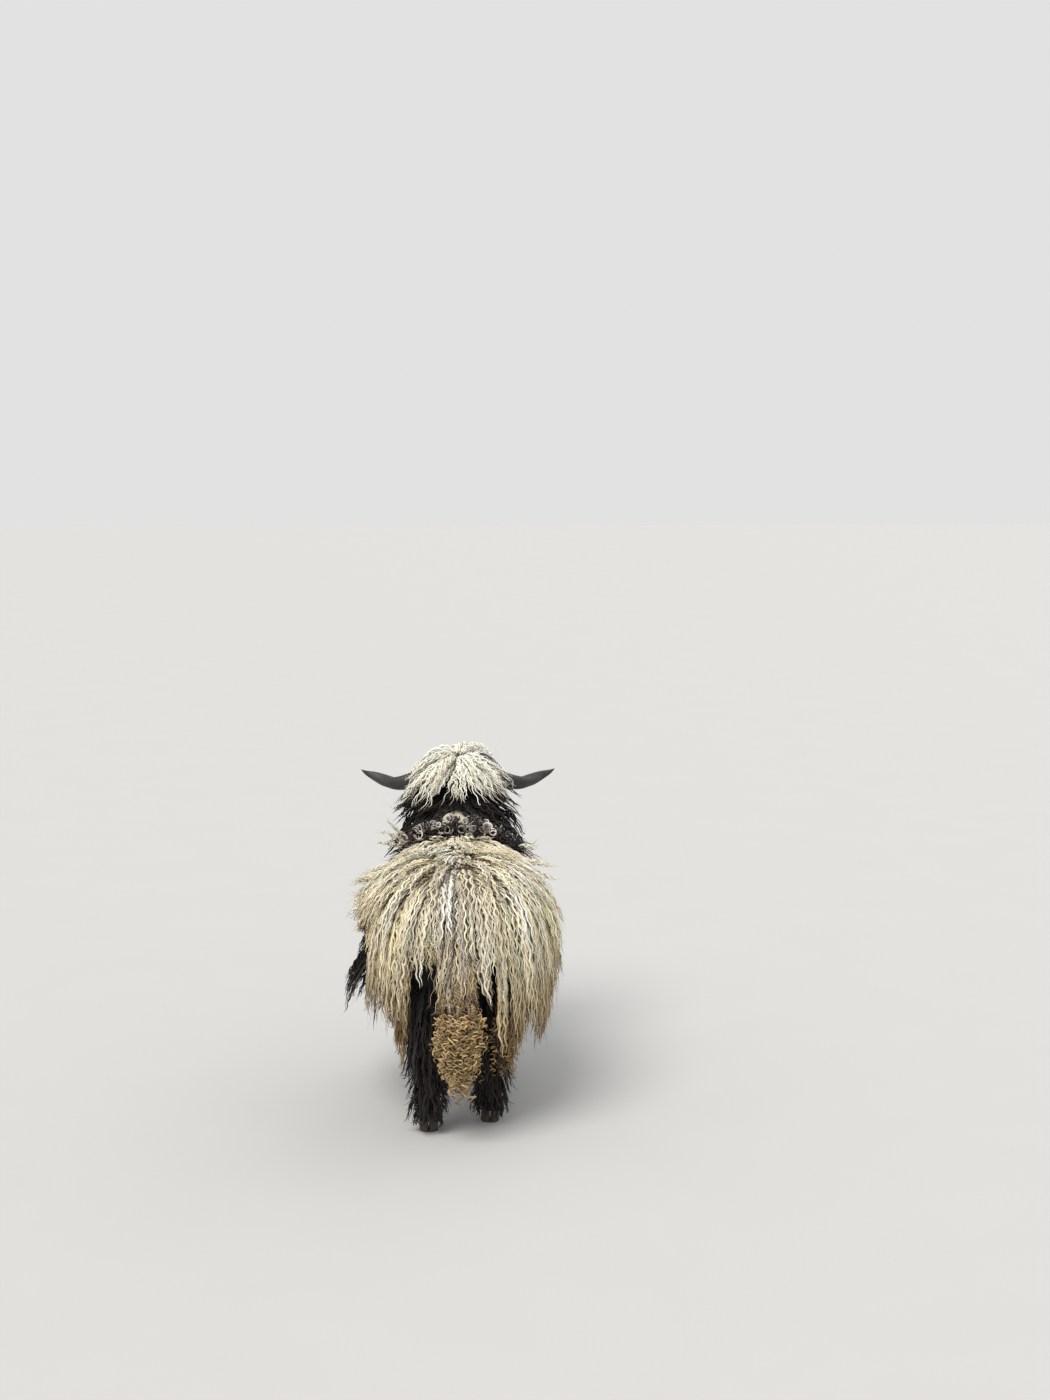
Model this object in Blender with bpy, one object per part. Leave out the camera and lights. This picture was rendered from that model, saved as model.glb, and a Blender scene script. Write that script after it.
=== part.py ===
# A standing Valais Blacknose ewe at life size, in metres.
# She faces -Y, her left side is +X and her hooves stand on z = 0.
import math
import random

import bmesh
import bpy
from mathutils import Matrix, Vector
from mathutils.bvhtree import BVHTree

# Driving dimensions
BACK_HEIGHT = 0.79
TRUNK_LENGTH = 0.85
BARREL_WIDTH = 0.55
RUMP_Y = 0.43
HEAD_LENGTH = 0.27
HEAD_PITCH = math.radians(38)
POLL = Vector((0, -0.585, 0.955))
CROWN = Vector((0, -0.578, 1.02))
HORN_ROOT = Vector((0.062, -0.575, 0.946))
HORN_SPREAD = 0.67
HORN_THICKNESS = 0.056
EYE_RADIUS = 0.0135
EAR_LENGTH = 0.125
HOOF_HEIGHT = 0.045
HOOF_LENGTH = 0.062
HOOF_WIDTH = 0.026
CLEFT = 0.004
STRIDE = 0.09
GAP = 0.0004

# How far the coat's tips stand off the cores
TRUNK_COAT = 0.074
NECK_COAT = 0.050
LEG_COAT = 0.032
PARTING_Y = 0.20

FORWARD = Vector((0, -math.cos(HEAD_PITCH), -math.sin(HEAD_PITCH)))
UPWARD = Vector((0, -math.sin(HEAD_PITCH), math.cos(HEAD_PITCH)))
SIDE = Vector((1, 0, 0))
DOWN = Vector((0, 0, -1))

# Colour, roughness and metallic value of each finish
FINISHES = {
    "fleece": ((0.72, 0.66, 0.52), 0.9, 0.0),
    "black_wool": ((0.018, 0.015, 0.017), 0.85, 0.0),
    "tail_wool": ((0.45, 0.33, 0.18), 0.9, 0.0),
    "horn": ((0.10, 0.085, 0.075), 0.5, 0.0),
    "eye": ((0.16, 0.09, 0.03), 0.08, 0.0),
    "hoof": ((0.05, 0.045, 0.04), 0.55, 0.0),
}

# The neck's core: x, y, z, half width, half depth
NECK_ROWS = [
    (0, -0.24, 0.58, 0.175, 0.190), (0, -0.34, 0.67, 0.165, 0.165),
    (0, -0.43, 0.76, 0.152, 0.143), (0, -0.505, 0.85, 0.130, 0.116),
    (0, -0.548, 0.905, 0.098, 0.090), (0, -0.568, 0.928, 0.060, 0.055),
]
# The space that the neck's coat fills, clear of the trunk's locks
NECK_SPACE = [
    (0, -0.280, 0.62, 0.150, 0.150), (0, -0.340, 0.67, 0.176, 0.180),
    (0, -0.430, 0.76, 0.204, 0.192), (0, -0.505, 0.85, 0.188, 0.168),
    (0, -0.548, 0.905, 0.140, 0.128), (0, -0.566, 0.926, 0.070, 0.064),
]
TAIL_ROWS = [
    (0, 0.370, 0.62, 0.024, 0.024), (0, 0.440, 0.56, 0.026, 0.024),
    (0, 0.476, 0.48, 0.030, 0.026), (0, 0.490, 0.39, 0.044, 0.034),
    (0, 0.490, 0.29, 0.044, 0.036), (0, 0.486, 0.21, 0.024, 0.020),
]


def smooth_rows(rows, count):
    """Rows of numbers, resampled to count rows on a Catmull-Rom curve through them."""
    found = []
    last = len(rows) - 1
    for i in range(count):
        t = last * i / (count - 1)
        k = min(int(t), last - 1)
        f = t - k
        a, b, c, d = (rows[max(0, min(last, k + o))] for o in (-1, 0, 1, 2))
        found.append([
            0.5 * (2 * q + (r - p) * f + (2 * p - 5 * q + 4 * r - s) * f ** 2
                   + (3 * q - p - 3 * r + s) * f ** 3)
            for p, q, r, s in zip(a, b, c, d)
        ])
    return found


def value_at(points, t):
    """The value at t on a line through (place, value) points."""
    for (a, low), (b, high) in zip(points, points[1:]):
        if t <= b:
            return low + (high - low) * (t - a) / (b - a)
    return points[-1][1]


def finish_of(name):
    material = bpy.data.materials.get(name)
    if material:
        return material
    colour, roughness, metallic = FINISHES[name]
    material = bpy.data.materials.new(name)
    material.use_nodes = True
    shader = material.node_tree.nodes["Principled BSDF"]
    shader.inputs["Base Color"].default_value = (*colour, 1)
    shader.inputs["Roughness"].default_value = roughness
    shader.inputs["Metallic"].default_value = metallic
    return material


def skinned(name, rings, finish, collection, closed=False):
    """A solid through rings of as many points each, capped, or closed to a hoop."""
    mesh = bpy.data.meshes.new(name)
    bm = bmesh.new()
    rows = [[bm.verts.new(point) for point in ring] for ring in rings]
    sides = len(rings[0])
    for low, high in zip(rows, rows[1:] + rows[:closed]):
        for i in range(sides):
            j = (i + 1) % sides
            bm.faces.new((low[i], low[j], high[j], high[i]))
    if not closed:
        bm.faces.new(rows[0][::-1])
        bm.faces.new(rows[-1])
    bmesh.ops.recalc_face_normals(bm, faces=bm.faces)
    if bm.calc_volume(signed=True) < 0:
        bmesh.ops.reverse_faces(bm, faces=bm.faces)
    bmesh.ops.triangulate(bm, faces=bm.faces)
    bm.to_mesh(mesh)
    bm.free()
    mesh.shade_smooth()
    mesh.materials.append(finish_of(finish))
    obj = bpy.data.objects.new(name, mesh)
    collection.objects.link(obj)
    return obj


def ring_at(centre, along, side, width, depth, sides, squareness=2.0):
    """Points of a rounded section square to the direction along."""
    along = along.normalized()
    side = (side - along * side.dot(along)).normalized()
    other = along.cross(side)
    points = []
    for i in range(sides):
        turn = 2 * math.pi * (i + 0.5) / sides
        x = math.copysign(abs(math.cos(turn)) ** (2 / squareness), math.cos(turn))
        y = math.copysign(abs(math.sin(turn)) ** (2 / squareness), math.sin(turn))
        points.append(centre + side * width * x + other * depth * y)
    return points


def tube(name, stations, count, sides, finish, collection, squareness=2.0):
    """A solid along stations of (x, y, z, half width, half depth)."""
    rows = smooth_rows(stations, count)
    centres = [Vector(row[:3]) for row in rows]
    rings = []
    for i, row in enumerate(rows):
        along = centres[min(i + 1, count - 1)] - centres[max(i - 1, 0)]
        rings.append(ring_at(centres[i], along, SIDE, row[3], row[4], sides, squareness))
    return skinned(name, rings, finish, collection)


def hide(obj):
    obj.hide_render = True
    obj.display_type = "WIRE"
    return obj


def grown(obj, by, collection):
    """A copy whose surface stands off by the given distance, used as a cutter."""
    mesh = obj.data.copy()
    bm = bmesh.new()
    bm.from_mesh(mesh)
    bm.normal_update()
    moves = [vertex.normal * by for vertex in bm.verts]
    for vertex, move in zip(bm.verts, moves):
        vertex.co += move
    bm.to_mesh(mesh)
    bm.free()
    copy = bpy.data.objects.new(obj.name + "_clearance", mesh)
    collection.objects.link(copy)
    return hide(copy)


def keep_largest(obj):
    """Deletes every closed surface of the object but the largest."""
    bm = bmesh.new()
    bm.from_mesh(obj.data)
    bm.faces.ensure_lookup_table()
    seen, pieces = set(), []
    for start in bm.faces:
        if start in seen:
            continue
        piece, stack = [], [start]
        seen.add(start)
        while stack:
            face = stack.pop()
            piece.append(face)
            for edge in face.edges:
                for near in edge.link_faces:
                    if near not in seen:
                        seen.add(near)
                        stack.append(near)
        pieces.append(piece)
    if len(pieces) > 1:
        pieces.sort(key=lambda piece: sum(face.calc_area() for face in piece))
        loose = [face for piece in pieces[:-1] for face in piece]
        bmesh.ops.delete(bm, geom=loose, context="FACES")
        bm.to_mesh(obj.data)
    bm.free()


def pinched(mesh):
    """Whether the surface touches itself where points lie closer than half a micron."""
    bm = bmesh.new()
    bm.from_mesh(mesh)
    bmesh.ops.remove_doubles(bm, verts=bm.verts, dist=5e-7)
    bad = any(len(edge.link_faces) != 2 for edge in bm.edges)
    bm.free()
    return bad


def combine(obj, operation, tool, tools):
    """Applies one Boolean, with its tools nudged for another try while the result pinches."""
    draw = random.Random(7)
    before = obj.data
    for _ in range(20):
        obj.data = before
        modifier = obj.modifiers.new("Combine", "BOOLEAN")
        modifier.operation = operation
        modifier.solver = "MANIFOLD"
        if isinstance(tool, bpy.types.Collection):
            modifier.operand_type = "COLLECTION"
            modifier.collection = tool
        else:
            modifier.object = tool
        graph = bpy.context.evaluated_depsgraph_get()
        mesh = bpy.data.meshes.new_from_object(obj.evaluated_get(graph))
        obj.modifiers.clear()
        obj.data = mesh
        keep_largest(obj)
        if not pinched(obj.data):
            break
        for other in tools:
            nudge = Vector([draw.uniform(-0.00006, 0.00006) for _ in range(3)])
            other.data.transform(Matrix.Translation(nudge))


def cut(obj, cutters):
    """Takes the cutters out of the object."""
    for cutter in cutters:
        combine(obj, "DIFFERENCE", cutter, [cutter])


def fuse(obj, pieces):
    """Joins every object of a collection to the object and removes the collection."""
    combine(obj, "UNION", pieces, pieces.objects)
    for piece in list(pieces.objects):
        bpy.data.objects.remove(piece)
    bpy.data.collections.remove(pieces)


def tree_of(objects):
    """A search tree over the surfaces of some objects."""
    points, faces = [], []
    for obj in objects:
        base = len(points)
        points += [vertex.co.copy() for vertex in obj.data.vertices]
        faces += [[base + k for k in face.vertices] for face in obj.data.polygons]
    return BVHTree.FromPolygons(points, faces)


def height_over(tree, point):
    """How far a point stands off a surface, with the direction away from it."""
    near, normal, _, _ = tree.find_nearest(point)
    offset = point - near
    if offset.dot(normal) < 0:
        return -offset.length, normal
    return offset.length, offset.normalized() if offset.length > 1e-6 else normal


def roots_on(obj, spacing, seed, fits, given=()):
    """Points spread evenly over a surface where fits(point, normal) holds, after given ones."""
    draw = random.Random(seed)
    faces = [[obj.data.vertices[k].co for k in face.vertices] for face in obj.data.polygons]
    areas = [(b - a).cross(c - a).length / 2 for a, b, c in faces]
    found = list(given)
    for face in draw.choices(range(len(faces)), areas, k=int(20 * sum(areas) / spacing ** 2)):
        a, b, c = faces[face]
        u, v = sorted((draw.random(), draw.random()))
        point = a * u + b * (v - u) + c * (1 - v)
        normal = obj.data.polygons[face].normal
        if fits(point, normal) and all((point - other).length > spacing for other, _ in found):
            found.append((point, normal.copy()))
    return found


def trace(root, normal, length, steps, lie, heights, tree):
    """A lock's line from a sunk root along the coat's lie, kept over the surface."""
    line, ups = [root - normal * 0.012], [normal]
    here, up = root, normal
    for i in range(1, steps + 1):
        t = i / steps
        flow = lie(here, up, t).normalized()
        if flow.dot(up) < 0:
            flow = (flow - up * flow.dot(up)).normalized()
        here = here + flow * length / steps
        height, up = height_over(tree, here)
        if height < value_at(heights, t):
            here = here + up * (value_at(heights, t) - height)
        line.append(here)
        ups.append((up + ups[-1]).normalized())
    for i in range(2, steps):
        line[i] = line[i] * 0.5 + (line[i - 1] + line[i + 1]) * 0.25
    return line, ups


def build_lock(line, ups, width, thickness, wave, finish, collection):
    """A flat, tapered, keeled lock along a line, swaying from side to side."""
    last = len(line) - 1
    rings = []
    for i, (point, up) in enumerate(zip(line, ups)):
        t = i / last
        along = (line[min(i + 1, last)] - line[max(i - 1, 0)]).normalized()
        side = along.cross(up).normalized()
        up = side.cross(along)
        wide = width / 2 * value_at([(0, 0.5), (0.3, 1), (0.6, 0.85), (0.85, 0.5), (1, 0.06)], t)
        thick = thickness * value_at([(0, 0.8), (0.3, 1), (0.7, 0.8), (1, 0.15)], t)
        point = point + side * wave * math.sin(5.5 * t + 40 * wave)
        rings.append([
            point - side * wide - up * thick * 0.4,
            point + side * wide * 0.15 + up * thick * 0.6,
            point + side * wide - up * thick * 0.4,
        ])
    return skinned("lock", rings, finish, collection)


def build_clump(centre, up, along, sizes, finish, collection):
    """A rounded clump of curls, its sizes given across, along and away from the surface."""
    side = along.cross(up).normalized()
    rings = []
    for lift, share in ((-0.8, 0.6), (0.15, 1.0), (0.9, 0.5)):
        rings.append([
            centre + up * sizes[2] * lift
            + side * sizes[0] * share * math.cos(turn) + along * sizes[1] * share * math.sin(turn)
            for turn in (math.radians(60 * k + 25 * lift) for k in range(6))
        ])
    return skinned("clump", rings, finish, collection)


def crosses_itself(obj):
    tree = tree_of([obj])
    corners = [set(face.vertices) for face in obj.data.polygons]
    return any(not corners[a] & corners[b] for a, b in tree.overlap(tree))


def lay_lock(root, normal, steps, lie, heights, tree, shape, collection, keep_off):
    """Lays a lock of (length, width, thickness, wave, finish), lifted until it clears all."""
    length, width, thickness, wave, finish = shape
    for lift, share in ((0, 1), (0.006, 1), (0.012, 0.9), (0.020, 0.9), (0.030, 0.8), (0.042, 0.7)):
        raised = [(t, height + lift * min(1, 3 * t)) for t, height in heights]
        line, ups = trace(root, normal, length, steps, lie, raised, tree)
        lock = build_lock(line, ups, width * share, thickness, wave, finish, collection)
        if not crosses_itself(lock) and not (keep_off and tree_of([lock]).overlap(keep_off)):
            return lock
        bpy.data.objects.remove(lock)
    return None


def head_point(ahead, above, aside=0.0):
    """A point of the head: ahead of the poll, above the head's axis, to the left."""
    return POLL + FORWARD * ahead + UPWARD * above + SIDE * aside


def build_trunk(collection):
    # Share of the length from rump to chest, of the width, top and bottom of the height
    shares = [
        (0.00, 0.30, 0.83, 0.66), (0.05, 0.62, 0.925, 0.56), (0.14, 0.82, 0.985, 0.49),
        (0.27, 0.94, 1.005, 0.43), (0.42, 1.00, 0.995, 0.385), (0.60, 0.985, 0.995, 0.38),
        (0.76, 0.88, 1.01, 0.40), (0.90, 0.70, 0.97, 0.44), (1.00, 0.36, 0.84, 0.54),
    ]
    stations = [
        (0, RUMP_Y - TRUNK_LENGTH * along, BACK_HEIGHT * (top + bottom) / 2,
         BARREL_WIDTH / 2 * width, BACK_HEIGHT * (top - bottom) / 2)
        for along, width, top, bottom in shares
    ]
    return tube("torso", stations, 15, 20, "fleece", collection, 2.2)


def trunk_lie(point, up, t):
    """Away from the parting on the back, fanning over the rump and hanging on the flanks."""
    if point.y > PARTING_Y:
        away = Vector((point.x * 1.5, point.y - PARTING_Y, 0)).normalized()
    else:
        away = Vector((math.copysign(min(1, abs(point.x) / 0.08), point.x), 0.55, 0))
    top = max(0.0, up.z)
    return away * (0.25 + 0.9 * top) + DOWN * (1.1 - 0.4 * top)


def dress_trunk(torso, hosts, others, pieces):
    """The long locks of the back, flanks, rump and thighs."""
    bare = tree_of([torso])
    tree = tree_of([torso] + hosts)
    keep = tree_of(hosts)
    off = tree_of(hosts + others)
    mantle = tree_of(hosts[:1])
    draw = random.Random(11)

    def fits(point, normal):
        return normal.z > -0.45 and height_over(keep, point)[0] > 0.012

    def at_neck(point, normal):
        return fits(point, normal) and height_over(mantle, point)[0] < 0.035

    # The parting, then the locks that fall over the tail, the neck's border and the rest
    spots = [Vector((0.022 * (-1) ** k, -0.20 + 0.066 * k, 0.9)) for k in range(8)]
    spots += [Vector((x, 0.36, 0.84)) for x in (-0.09, -0.03, 0.03, 0.09)]
    spots += [Vector((x, 0.48, 0.77 - abs(x) ** 1.5)) for x in (-0.12, -0.06, 0.0, 0.06, 0.12)]
    roots = [bare.find_nearest(spot)[:2] for spot in spots]
    roots = roots_on(torso, 0.062, 8, at_neck, roots)
    roots = roots_on(torso, 0.082, 5, fits, roots)
    for root, normal in roots:
        low = root.z < 0.50 * BACK_HEIGHT
        behind = root.y > 0.34 and abs(root.x) < 0.12 and root.z < 0.58
        length = draw.uniform(0.21, 0.25)
        if low:
            length = draw.uniform(0.17, 0.21)
        if behind:
            length = draw.uniform(0.10, 0.13)
        flare = 0.018 if root.x > 0.1 and -0.32 < root.y < -0.05 and root.z > 0.6 else 0
        coat = TRUNK_COAT * draw.uniform(0.75, 1.0) * (0.7 if low or behind else 1)
        heights = [(0, 0.0), (0.2, 0.012), (0.5, 0.45 * coat), (0.8, 0.8 * coat + flare),
                   (1, 0.85 * coat + 1.5 * flare)]
        wave = draw.choice((-1, 1)) * draw.uniform(0.006, 0.012)
        shape = (length, draw.uniform(0.076, 0.092), 0.018, wave, "fleece")
        lay_lock(root, normal, 5, trunk_lie, heights, tree, shape, pieces, off)


def neck_lie(point, up, t):
    """Down the neck, and away from its crest at the back."""
    crest = max(0, up.y + 0.3)
    away = math.copysign(min(1, abs(point.x) / 0.05), point.x)
    return DOWN + SIDE * away * 0.5 * crest + Vector((0, 0.3, 0))


def dress_neck(neck, torso, envelope, hosts, pieces):
    """Shaggy locks down the neck and a collar of curls round its root."""
    tree = tree_of([neck, torso] + hosts)
    off = tree_of(hosts)
    apart = [tree_of([host]) for host in hosts]
    border = tree_of([torso])
    within = tree_of([envelope])
    draw = random.Random(23)

    def fits(point, normal):
        clear = all(height_over(other, point)[0] > 0.035 for other in apart)
        return point.z < 0.96 and clear and height_over(border, point)[0] > 0.014

    def at_root(point, normal):
        return normal.y > 0.05 and 0.006 < height_over(border, point)[0] < 0.050

    def on_nape(point, normal):
        return fits(point, normal) and normal.y > 0.3 and height_over(border, point)[0] > 0.05

    for root, normal in roots_on(neck, 0.077, 9, fits, roots_on(neck, 0.060, 2, on_nape)):
        coat = NECK_COAT * draw.uniform(0.6, 0.8)
        heights = [(0, 0), (0.25, 0.010), (0.6, 0.6 * coat), (1, coat)]
        length = draw.uniform(0.12, 0.15)
        line, _ = trace(root, normal, length, 4, neck_lie, heights, tree)
        inside = sum(height_over(within, point)[0] < -0.008 for point in line) / len(line)
        wave = draw.choice((-1, 1)) * draw.uniform(0.004, 0.008)
        shape = (length * inside, 0.060, 0.016, wave, "black_wool")
        lay_lock(root, normal, 4, neck_lie, heights, tree, shape, pieces, off)
    for root, normal in roots_on(neck, 0.046, 3, at_root):
        size = draw.uniform(0.8, 1.15)
        sizes = (0.027 * size, 0.030 * size, 0.022 * size)
        along = normal.cross(SIDE if abs(normal.x) < 0.8 else DOWN).normalized()
        build_clump(root + normal * 0.010, normal, along, sizes, "black_wool", pieces)


def press(obj, centre, radius, move):
    """Pushes the surface near a place, fading out to the radius."""
    for vertex in obj.data.vertices:
        share = max(0, 1 - (vertex.co - centre).length_squared / radius ** 2)
        vertex.co += move * share ** 2


def build_neck(collection):
    return tube("neck", NECK_ROWS, 9, 16, "black_wool", collection)


def wider(rows, by):
    """The same stations with more half width and half depth."""
    return [(x, y, z, w + by, d + by) for x, y, z, w, d in rows]


def build_head(collection):
    # Share of the head's length ahead of the poll, centre above the axis, half sizes
    shares = [
        (-0.24, -0.024, 0.020, 0.022), (-0.19, -0.022, 0.044, 0.046), (-0.06, -0.018, 0.066, 0.068),
        (0.17, -0.020, 0.080, 0.080),
        (0.34, -0.022, 0.076, 0.078), (0.50, -0.024, 0.060, 0.067), (0.67, -0.024, 0.049, 0.053),
        (0.82, -0.022, 0.046, 0.045), (0.93, -0.021, 0.043, 0.038), (0.99, -0.021, 0.033, 0.027),
        (1.02, -0.021, 0.016, 0.012),
    ]
    stations = [
        (*head_point(HEAD_LENGTH * ahead, above), width, depth)
        for ahead, above, width, depth in shares
    ]
    head = tube("head", stations, 20, 20, "black_wool", collection)
    press(head, head_point(0.155, 0.030), 0.060, UPWARD * 0.008)
    press(head, head_point(0.245, -0.062), 0.030, -UPWARD * 0.005)
    for sign in (1, -1):
        press(head, head_point(0.098, 0.008, sign * 0.072), 0.028, -SIDE * sign * 0.005)
        press(head, head_point(0.082, 0.034, sign * 0.056), 0.026, (SIDE * sign + UPWARD) * 0.004)
        press(head, head_point(0.070, -0.055, sign * 0.065), 0.045, SIDE * sign * 0.007)
        press(head, head_point(0.252, -0.006, sign * 0.034), 0.024, SIDE * sign * 0.005)
    return head


def build_lids(sign, pieces):
    """A rim of both lids round the eye, longer towards the nose."""
    centre = eye_centre(sign)
    out = (SIDE * sign * 0.93 + FORWARD * 0.30 + UPWARD * 0.15).normalized()
    ahead = (FORWARD - out * FORWARD.dot(out)).normalized()
    above = out.cross(ahead) * sign
    rings = []
    for k in range(12):
        turn = 2 * math.pi * k / 12
        radial = ahead * math.cos(turn) + above * math.sin(turn)
        long = 0.0165 if math.cos(turn) > 0 else 0.0145
        middle = centre + out * 0.0060
        middle += ahead * long * math.cos(turn) + above * 0.0118 * math.sin(turn)
        rings.append([
            middle + (radial * math.cos(a) + out * math.sin(a)) * 0.0042
            for a in (math.radians(90 * i) for i in range(4))
        ])
    return skinned("lids", rings, "black_wool", pieces, closed=True)


def carve_muzzle(head, cutters):
    """Cuts the nostrils, the groove between them and the line of the mouth."""
    core = grown(head, -0.005, cutters)
    rings = []
    for ahead, above in ((0.196, -0.061), (0.222, -0.052), (0.250, -0.045), (0.300, -0.042)):
        rings.append([
            head_point(ahead, above + lift, aside)
            for lift, aside in ((-0.0011, -0.07), (-0.0011, 0.07), (0.0011, 0.07), (0.0011, -0.07))
        ])
    mouth = hide(skinned("mouth", rings, "black_wool", cutters))
    cut(mouth, [core])
    tools = [mouth]
    for sign in (1, -1):
        out = (FORWARD * 0.75 + SIDE * sign * 0.65).normalized()
        slant = (UPWARD * 0.8 + SIDE * sign * 0.5 - FORWARD * 0.35).normalized()
        place = head_point(0.263, -0.012, sign * 0.029)
        tools.append(hide(build_clump(place, out, slant, (0.0038, 0.0095, 0.008),
                                      "black_wool", cutters)))
    place = head_point(0.2765, -0.028)
    tools.append(hide(build_clump(place, FORWARD, UPWARD, (0.0014, 0.011, 0.003),
                                  "black_wool", cutters)))
    cut(head, tools)


def crown_lie(point, up, t):
    """Outwards from the crown, then falling."""
    away = Vector((point.x - CROWN.x, point.y - CROWN.y, 0)).normalized()
    return away * (1.1 - 1.0 * t) + DOWN * (0.1 + 1.9 * t)


def dress_head(head, hosts, pieces):
    """The topknot: locks that fall from the crown to all sides, in two tiers."""
    tree = tree_of([head] + hosts)
    scalp = tree_of([head])
    off = tree_of(hosts)
    draw = random.Random(4)
    for count, reach, length, lift in ((6, 0.007, 0.140, 0.036), (11, 0.021, 0.170, 0.020)):
        for k in range(count):
            turn = 2 * math.pi * (k + draw.uniform(-0.2, 0.2)) / count
            away = Vector((math.sin(turn), -math.cos(turn), 0))
            start = CROWN + Vector((0, 0, 0.1)) + away * reach
            root, normal, _, _ = scalp.ray_cast(start, DOWN)
            long = length * draw.uniform(0.9, 1.1) * (0.8 if away.y < -0.6 else 1)
            heights = [(0, 0.0), (0.25, lift), (0.7, lift * 1.2), (1, 0.014)]
            wave = draw.choice((-1, 1)) * draw.uniform(0.004, 0.008)
            shape = (long, 0.060, 0.015, wave, "fleece")
            lay_lock(root, normal, 4, crown_lie, heights, tree, shape, pieces, off)


def leg_stations(front, sign, step):
    if front:
        rows = [
            (0.115, -0.265, 0.50, 0.060, 0.085), (0.105, -0.26, 0.38, 0.048, 0.058),
            (0.095, -0.265, 0.28, 0.037, 0.040), (0.092, -0.263, 0.20, 0.029, 0.032),
            (0.092, -0.263, 0.12, 0.028, 0.030), (0.092, -0.27, 0.085, 0.032, 0.035),
            (0.092, -0.283, HOOF_HEIGHT + GAP, 0.027, 0.034),
        ]
    else:
        rows = [
            (0.115, 0.26, 0.50, 0.075, 0.110), (0.110, 0.295, 0.40, 0.060, 0.085),
            (0.100, 0.335, 0.335, 0.045, 0.055), (0.095, 0.35, 0.285, 0.038, 0.045),
            (0.095, 0.335, 0.22, 0.030, 0.034), (0.095, 0.32, 0.14, 0.028, 0.031),
            (0.095, 0.31, 0.09, 0.032, 0.036), (0.095, 0.298, HOOF_HEIGHT + GAP, 0.027, 0.034),
        ]
    top = rows[0][2]
    return [(sign * x, y + step * (1 - z / top), z, w, d) for x, y, z, w, d in rows]


def build_leg(name, rows, collection):
    rings = [
        ring_at(Vector(row[:3]), DOWN, SIDE, row[3], row[4], 10) for row in smooth_rows(rows, 11)
    ]
    return skinned(name, rings, "black_wool", collection)


def leg_lie(point, up, t):
    return DOWN + Vector((0, 0.15, 0))


def dress_leg(leg, torso, seed, pieces):
    """Short shaggy locks down to the hoof."""
    tree = tree_of([leg])
    keep = tree_of([torso])
    draw = random.Random(seed)

    def fits(point, normal):
        return point.z > 0.10 and height_over(keep, point)[0] > 0.010 and abs(normal.z) < 0.8

    for root, normal in roots_on(leg, 0.063, seed, fits):
        coat = LEG_COAT * draw.uniform(0.7, 1)
        length = min(draw.uniform(0.080, 0.105), root.z - HOOF_HEIGHT - 0.012)
        heights = [(0, 0), (0.4, 0.3 * coat), (1, 0.75 * coat)]
        shape = (length, 0.044, 0.014, draw.uniform(-0.003, 0.003), "black_wool")
        lay_lock(root, normal, 3, leg_lie, heights, tree, shape, pieces, None)


def build_claw(name, foot, side_of_leg, collection):
    """One of the two claws of a hoof, flat side inwards and toe forwards."""
    inner = side_of_leg * CLEFT / 2
    # Height, share of the length, set-back of the toe, share of the width
    rows = [(0.0, 1.0, 0.0, 1.0), (0.012, 1.0, 0.003, 1.0), (HOOF_HEIGHT, 0.78, 0.016, 0.9)]
    rings = []
    for height, length, back, width in rows:
        long, wide = HOOF_LENGTH * length, HOOF_WIDTH * width
        toe = foot.y - HOOF_LENGTH * 0.62 + back
        outline = [
            (0.10, 0.0), (0.02, 0.35), (0.12, 0.72), (0.42, 1.0),
            (0.80, 0.95), (0.98, 0.55), (1.0, 0.0), (0.55, 0.06),
        ]
        rings.append([
            Vector((foot.x + inner + side_of_leg * wide * across, toe + long * along, height))
            for along, across in outline
        ])
    return skinned(name, rings, "hoof", collection)


def dress_tail(tail, pieces):
    """Rounded curls round the tuft, with a few tips below."""
    draw = random.Random(31)

    def fits(point, normal):
        return 0.225 < point.z < 0.42

    for root, normal in roots_on(tail, 0.044, 2, fits):
        size = (1 if root.z > 0.27 else 0.8) * draw.uniform(0.85, 1.1)
        sizes = (0.028 * size, 0.034 * size, 0.024 * size)
        build_clump(root + normal * 0.012 * size, normal, DOWN, sizes, "tail_wool", pieces)
    for k in range(5):
        turn = math.radians(72 * k + 20)
        out = Vector((math.cos(turn), 0.8 * math.sin(turn), 0))
        root = Vector(TAIL_ROWS[-1][:3]) + out * 0.014 + Vector((0, 0, 0.03))
        length = draw.uniform(0.08, 0.115)
        line = [root + out * 0.026 * math.sin(1.4 * t) + DOWN * length * t
                for t in (0, 0.33, 0.67, 1)]
        build_lock(line, [out] * 4, 0.030, 0.016, 0.004, "tail_wool", pieces)


def horn_line(t):
    """Centre of the left horn, t from 0 at the skull to 1 at the tip."""
    turn = math.radians(100 - 292 * t)
    radius = 0.050 + 0.014 * math.sin(math.pi * t)
    across = HORN_ROOT.x + (HORN_SPREAD / 2 - HORN_ROOT.x) * t ** 1.15
    rise = radius * math.sin(turn)
    rise *= 0.72 + 0.28 * math.tanh(rise / 0.02)
    return HORN_ROOT + Vector((across - HORN_ROOT.x, radius * math.cos(turn), rise))


def build_horn(name, sign, collection):
    count, sides = 20, 7
    rings = []
    for i in range(count):
        t = i / (count - 1)
        along = horn_line(min(1, t + 0.01)) - horn_line(max(0, t - 0.01))
        out = horn_line(t) - Vector((horn_line(t).x, HORN_ROOT.y, HORN_ROOT.z))
        size = HORN_THICKNESS / 2 * max(0.06, (1 - t ** 4) ** 0.8)
        ridge = 1 + 0.05 * (i % 2)
        ring = ring_at(horn_line(t), along, out, size * 0.8 * ridge, size * ridge, sides)
        rings.append([Vector((sign * p.x, p.y, p.z)) for p in ring])
    return skinned(name, rings, "horn", collection)


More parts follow.
